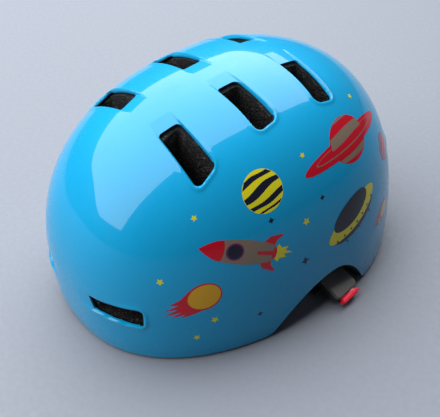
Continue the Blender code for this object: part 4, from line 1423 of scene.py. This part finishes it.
class Print:
    """Flat artwork in millimetres, laid on the shell round one point and growing with its size."""

    def __init__(self, x, y, z, head, size=1.0):
        hit = PLAIN["tree"].find_nearest(Vector((x, y, z)) * MM)
        self.centre = hit[0]
        self.normal = plain_dome_normal(self.centre) or hit[1]
        aim = PLAIN["tree"].find_nearest(Vector(head) * MM)[0] - self.centre
        self.ahead = (aim - self.normal * aim.dot(self.normal)).normalized()
        self.beside = self.normal.cross(self.ahead)
        self.size = size

    def lay(self, u, v, lift):
        start = self.centre + (self.ahead * u + self.beside * v) * MM + self.normal * 40 * MM
        hit, _, _, _ = PLAIN["tree"].ray_cast(start, -self.normal)
        if hit is None:
            hit = PLAIN["tree"].find_nearest(start - self.normal * 40 * MM)[0]
        normal = plain_dome_normal(hit) or self.normal
        return hit + normal * lift, normal

    def shape(self, outline, ink, layer, step=1.3):
        """One flat-coloured shape, cut fine enough to follow the curve of the shell."""
        outline = densify([(u * self.size, v * self.size) for u, v in outline], step)
        work = bmesh.new()
        rim = [work.verts.new((u, v, 0)) for u, v in outline]
        for i, vert in enumerate(rim):
            work.edges.new((vert, rim[(i + 1) % len(rim)]))
        bmesh.ops.triangle_fill(work, edges=work.edges[:], use_beauty=True)
        for axis in (0, 1):
            low = min(p[axis] for p in outline)
            high = max(p[axis] for p in outline)
            way = Vector((1 - axis, axis, 0))
            for cut_at in range(1, int((high - low) / PRINT_CELL) + 1):
                everything = work.verts[:] + work.edges[:] + work.faces[:]
                bmesh.ops.bisect_plane(work, geom=everything, plane_co=way * (low + PRINT_CELL * cut_at),
                                       plane_no=way)
        bmesh.ops.dissolve_degenerate(work, dist=0.05, edges=work.edges[:])
        work.verts.ensure_lookup_table()
        normals = []
        lift = (0.05 + 0.03 * layer) * MM
        for vert in work.verts:
            vert.co, normal = self.lay(vert.co.x, vert.co.y, lift)
            normals.append(normal)
        for face in work.faces:
            face.normal_update()
            if face.normal.dot(self.normal) < 0:
                face.normal_flip()
        PRINTS.setdefault(ink, []).append((work, normals))


def print_everything(body):
    """One piece for each ink."""
    for ink, parts in PRINTS.items():
        vertices = []
        faces = []
        normals = []
        for work, part_normals in parts:
            base = len(vertices)
            work.verts.index_update()
            vertices += [v.co.copy() for v in work.verts]
            normals += part_normals
            faces += [tuple(base + v.index for v in face.verts) for face in work.faces]
            work.free()
        mesh = bpy.data.meshes.new("print_" + ink)
        mesh.from_pydata([tuple(v) for v in vertices], [], faces)
        mesh.shade_smooth()
        mesh.normals_split_custom_set_from_vertices([tuple(n) for n in normals])
        finish_piece(add_object("print_" + ink, mesh), body, "shell_blue", PRINT[ink])


def rocket(x, y, z, head, size=1.0):
    art = Print(x, y, z, head, size)
    flame = [(-17, 3.2), (-20, 5.4), (-21, 3.0), (-25.5, 2.6), (-23.0, 0.6), (-29.0, -0.4), (-23.5, -1.6),
             (-25.0, -4.0), (-20.5, -3.2), (-18.5, -5.4), (-17, -3.2)]
    art.shape(flame, "yellow", 0)
    fin = [(-7.5, 5.2), (-11.5, 9.4), (-18.5, 11.2), (-20.0, 10.6), (-16.4, 7.6), (-15.4, 4.2)]
    art.shape(fin, "red", 0)
    art.shape([(u, -v) for u, v in fin][::-1], "red", 0)
    body = [(-17.0, 3.4)]
    for i in range(17):
        t = i / 16
        body.append((-14 + 30.0 * t, 4.4 + 2.8 * math.sin(math.pi * (0.12 + 0.70 * t))))
    art.shape(both_sides(body), "taupe", 1)
    nose = [(15.4 + 12.4 * i / 12, 6.0 * (1 - (i / 12) ** 1.6)) for i in range(13)]
    nose = both_sides(nose)
    for i in range(1, 8):
        angle = math.radians(-90 + 180 * i / 8)
        nose.append((15.4 - 1.6 * math.cos(angle), 6.0 * math.sin(angle)))
    art.shape(nose, "red", 2)
    art.shape(ellipse((7.6, 0), (5.2, 5.0)), "plum", 2)
    art.shape(ellipse((7.6, 0), (4.3, 4.1)), "ink", 3)
    middle_fin = [(-18.0, 1.2), (-17.4, 3.3), (-15.8, 3.4), (-15.6, 1.3), (-6.0, 0.9), (-5.4, 0.0)]
    art.shape(both_sides(middle_fin), "red", 2)


def comet(x, y, z, head, size=1.0):
    art = Print(x, y, z, head, size)
    tail = [(4.0, 6.2), (9.5, 5.8), (13.5, 5.0), (10.5, 4.1), (17.5, 3.1), (11.5, 2.2), (19.5, 0.8),
            (12.0, 0.1), (18.0, -1.6), (11.0, -1.7), (14.5, -3.7), (9.0, -4.1), (4.0, -6.2)]
    art.shape(tail, "red", 0)
    art.shape(ellipse((0, 0), (8.0, 6.9)), "red", 1)
    art.shape(ellipse((-0.2, 0), (7.2, 6.1)), "amber", 2)


def banded_planet(x, y, z, head, radius, base="yellow", stripe="ink"):
    art = Print(x, y, z, head)
    art.shape(ellipse((0, 0), (radius, radius), 60), base, 0)
    for low, high, wobble in ((0.56, 0.80, 0.05), (-0.03, 0.27, 0.10), (-0.56, -0.33, 0.06),
                              (-0.86, -0.76, 0.02)):
        art.shape(band_across((0, 0), radius * 0.985, radius * low, radius * high, radius * wobble, 52.0),
                  stripe, 1)


def ringed_planet(x, y, z, head, size=1.0, base="red", stripe="taupe"):
    art = Print(x, y, z, head, size)
    middle = (0, -2.5)

    def band(low, high, wobble, layer):
        outline = band_across(middle, 17.0, low, high, wobble, 0.0)
        art.shape(clip_to_ellipse(outline, middle, (16.8, 14.0)), stripe, layer)

    art.shape(ellipse(middle, (17.0, 14.2), 72), base, 0)
    band(-11.0, -7.6, 0.5, 1)
    art.shape(ellipse((0, -3.4), (41.0, 5.9), 96), base, 2)
    art.shape(ellipse((0, -2.9), (31.5, 3.5), 96), stripe, 3)
    art.shape(ellipse((0, -2.7), (30.6, 2.9), 96), base, 4)
    band(1.0, 7.2, 0.5, 5)
    band(12.4, 13.6, 0.2, 5)


def saucer(x, y, z, head, size=1.0):
    art = Print(x, y, z, head, size)
    for place in (-12.0, 0.0, 12.0):
        leg = [(place - 0.5, -9.0), (place + 0.5, -9.0), (place + 0.4, -15.0), (place - 0.4, -15.0)]
        art.shape(leg, "ink", 0)
    art.shape(ellipse((0, -5.4), (20.5, 8.6), 80), "ink", 1)
    art.shape(ellipse((0, -2.6), (23.5, 8.0), 80), "yellow", 2)
    art.shape(ellipse((0, 1.8), (16.5, 7.6), 64), "ink", 3)
    for i in range(7):
        place = -18 + 6 * i
        drop = -3.2 - 5.6 * math.sqrt(max(1 - (place / 23.5) ** 2, 0.0))
        art.shape(ellipse((place, drop), (0.75, 0.75), 12), "ink", 4)


def sparkles(places, ink, arms=5, grow=1.0):
    """Small stars, each at a place with a radius."""
    for x, y, z, radius in places:
        art = Print(x, y, z, (x * 0.9, y, z + 12))
        art.shape(star_outline(radius * grow, arms, 0.50 if arms == 5 else 0.46), ink, 0, 0.8)


def print_left_side():
    rocket(75.2, -50.0, 72.4, (62.6, -74.5, 81.2))
    comet(70.0, -76.2, 51.4, (59.2, -94.2, 41.9), 1.30)
    banded_planet(67.9, -32.9, 100.2, (74.5, -24.0, 94.5), 12.0)
    ringed_planet(66.5, 32.8, 105.6, (48.5, 74.5, 100.0), 0.96)
    saucer(85.0, 23.0, 66.0, (80.2, 42.4, 74.1))
    sparkles(((55.6, -93.9, 63.7, 1.7), (56.6, -70.4, 95.5, 1.4), (73.4, -71.7, 33.2, 1.9),
              (68.5, -81.0, 20.7, 1.7), (66.2, -2.8, 108.2, 1.3), (81.7, -12.5, 76.7, 1.9),
              (49.1, 53.3, 114.9, 1.4)), "yellow", grow=1.35)
    sparkles(((75.5, -33.6, 85.4, 1.5), (79.6, 1.3, 85.0, 1.5), (86.4, -15.8, 52.5, 2.2),
              (82.6, -46.0, 26.9, 1.5)), "ink", 4, 1.3)


def print_rear_and_right():
    """The rear and the wearer's right carry the same motifs in another order."""
    banded_planet(66.0, 72.0, 80.0, (60.0, 84.0, 70.0), 9.0, "plum", "red")
    sparkles(((76.0, 60.0, 72.0, 2.0),), "green")
    comet(80.0, 62.0, 44.0, (84.0, 46.0, 40.0), 0.85)
    ringed_planet(-69.0, -38.0, 98.0, (-73.0, -4.0, 96.0), 0.72, "orange", "yellow")
    rocket(-82.0, 22.0, 62.0, (-76.0, 48.0, 74.0))
    saucer(-66.0, -76.0, 52.0, (-76.0, -58.0, 56.0), 0.8)
    banded_planet(-70.0, 34.0, 98.0, (-64.0, 44.0, 98.0), 11.0, "amber", "red")
    comet(-62.0, 84.0, 62.0, (-74.0, 68.0, 52.0), 0.9)
    sparkles(((-80, -10, 80, 1.9), (-84, -30, 50, 1.8), (-52, -96, 62, 1.6), (-60, 60, 100, 1.6),
              (-84, 52, 36, 1.7), (-20, 110, 84, 1.7), (22, 108, 92, 1.6), (0, 100, 104, 1.4)), "yellow")
    sparkles(((-86, -2, 60, 1.8), (-78, -52, 74, 1.5), (-72, 72, 84, 1.5), (52, 96, 60, 1.7)), "ink", 4)


print_left_side()
print_rear_and_right()
print_everything("helmet")


# ======================= floor, light and camera =======================
CAMERA_PLACE = Vector((0.2730, -0.2345, 0.3294))
CAMERA_AZIMUTH = 50.0        # degrees from -Y towards +X
CAMERA_ELEVATION = 40.0
CAMERA_ROLL = -0.72
CAMERA_LENS = 57.27          # on a 36 mm wide sensor
FLOOR_REACH = 6
FLOOR_COLOUR = (0.158, 0.168, 0.196)
ROOM_COLOUR = (0.75, 0.84, 1.0)
ROOM_STRENGTH = 0.14
PANEL_PLACE = (-0.875, -1.45, 1.20)
PANEL_SIZE = (2.25, 6.1)     # it faces straight down
PANEL_WATTS = 231.0
PANEL_COLOUR = (0.95, 0.98, 1.0)


def place_camera():
    azimuth = math.radians(CAMERA_AZIMUTH)
    elevation = math.radians(CAMERA_ELEVATION)
    roll = math.radians(CAMERA_ROLL)
    back = Vector((math.cos(elevation) * math.sin(azimuth), -math.cos(elevation) * math.cos(azimuth),
                   math.sin(elevation)))
    level = Vector((math.cos(azimuth), math.sin(azimuth), 0))
    rise = back.cross(level)
    right = level * math.cos(roll) + rise * math.sin(roll)
    top = rise * math.cos(roll) - level * math.sin(roll)
    turn = Matrix((right, top, back)).transposed()
    lens = bpy.data.cameras.new("camera")
    lens.sensor_width = 36.0
    lens.lens = CAMERA_LENS
    lens.clip_start = 0.01
    camera = add_object("camera", lens)
    camera.matrix_world = Matrix.Translation(CAMERA_PLACE) @ turn.to_4x4()
    bpy.context.scene.camera = camera


def studio():
    corners = [(-FLOOR_REACH, -FLOOR_REACH, 0), (FLOOR_REACH, -FLOOR_REACH, 0), (FLOOR_REACH, FLOOR_REACH, 0),
               (-FLOOR_REACH, FLOOR_REACH, 0)]
    floor = mesh_object("floor", corners, [(0, 1, 2, 3)])
    paper = Look("pale_floor", FLOOR_COLOUR, 0.7)
    grain = paper.noise(paper.coordinates(), 300.0, 4.0)
    paper.roughness(paper.remap(grain, 0.3, 0.7, 0.6, 0.8))
    floor.data.materials.append(paper.material)
    world = bpy.data.worlds.new("soft_room")
    world.use_nodes = True
    backdrop = world.node_tree.nodes["Background"]
    backdrop.inputs["Color"].default_value = (*ROOM_COLOUR, 1.0)
    backdrop.inputs["Strength"].default_value = ROOM_STRENGTH
    bpy.context.scene.world = world
    bpy.context.scene.view_settings.view_transform = "Standard"
    panel = bpy.data.lights.new("sky_panel", "AREA")
    panel.shape = "RECTANGLE"
    panel.size, panel.size_y = PANEL_SIZE
    panel.energy = PANEL_WATTS
    panel.color = PANEL_COLOUR
    add_object("sky_panel", panel).location = PANEL_PLACE


place_camera()
studio()
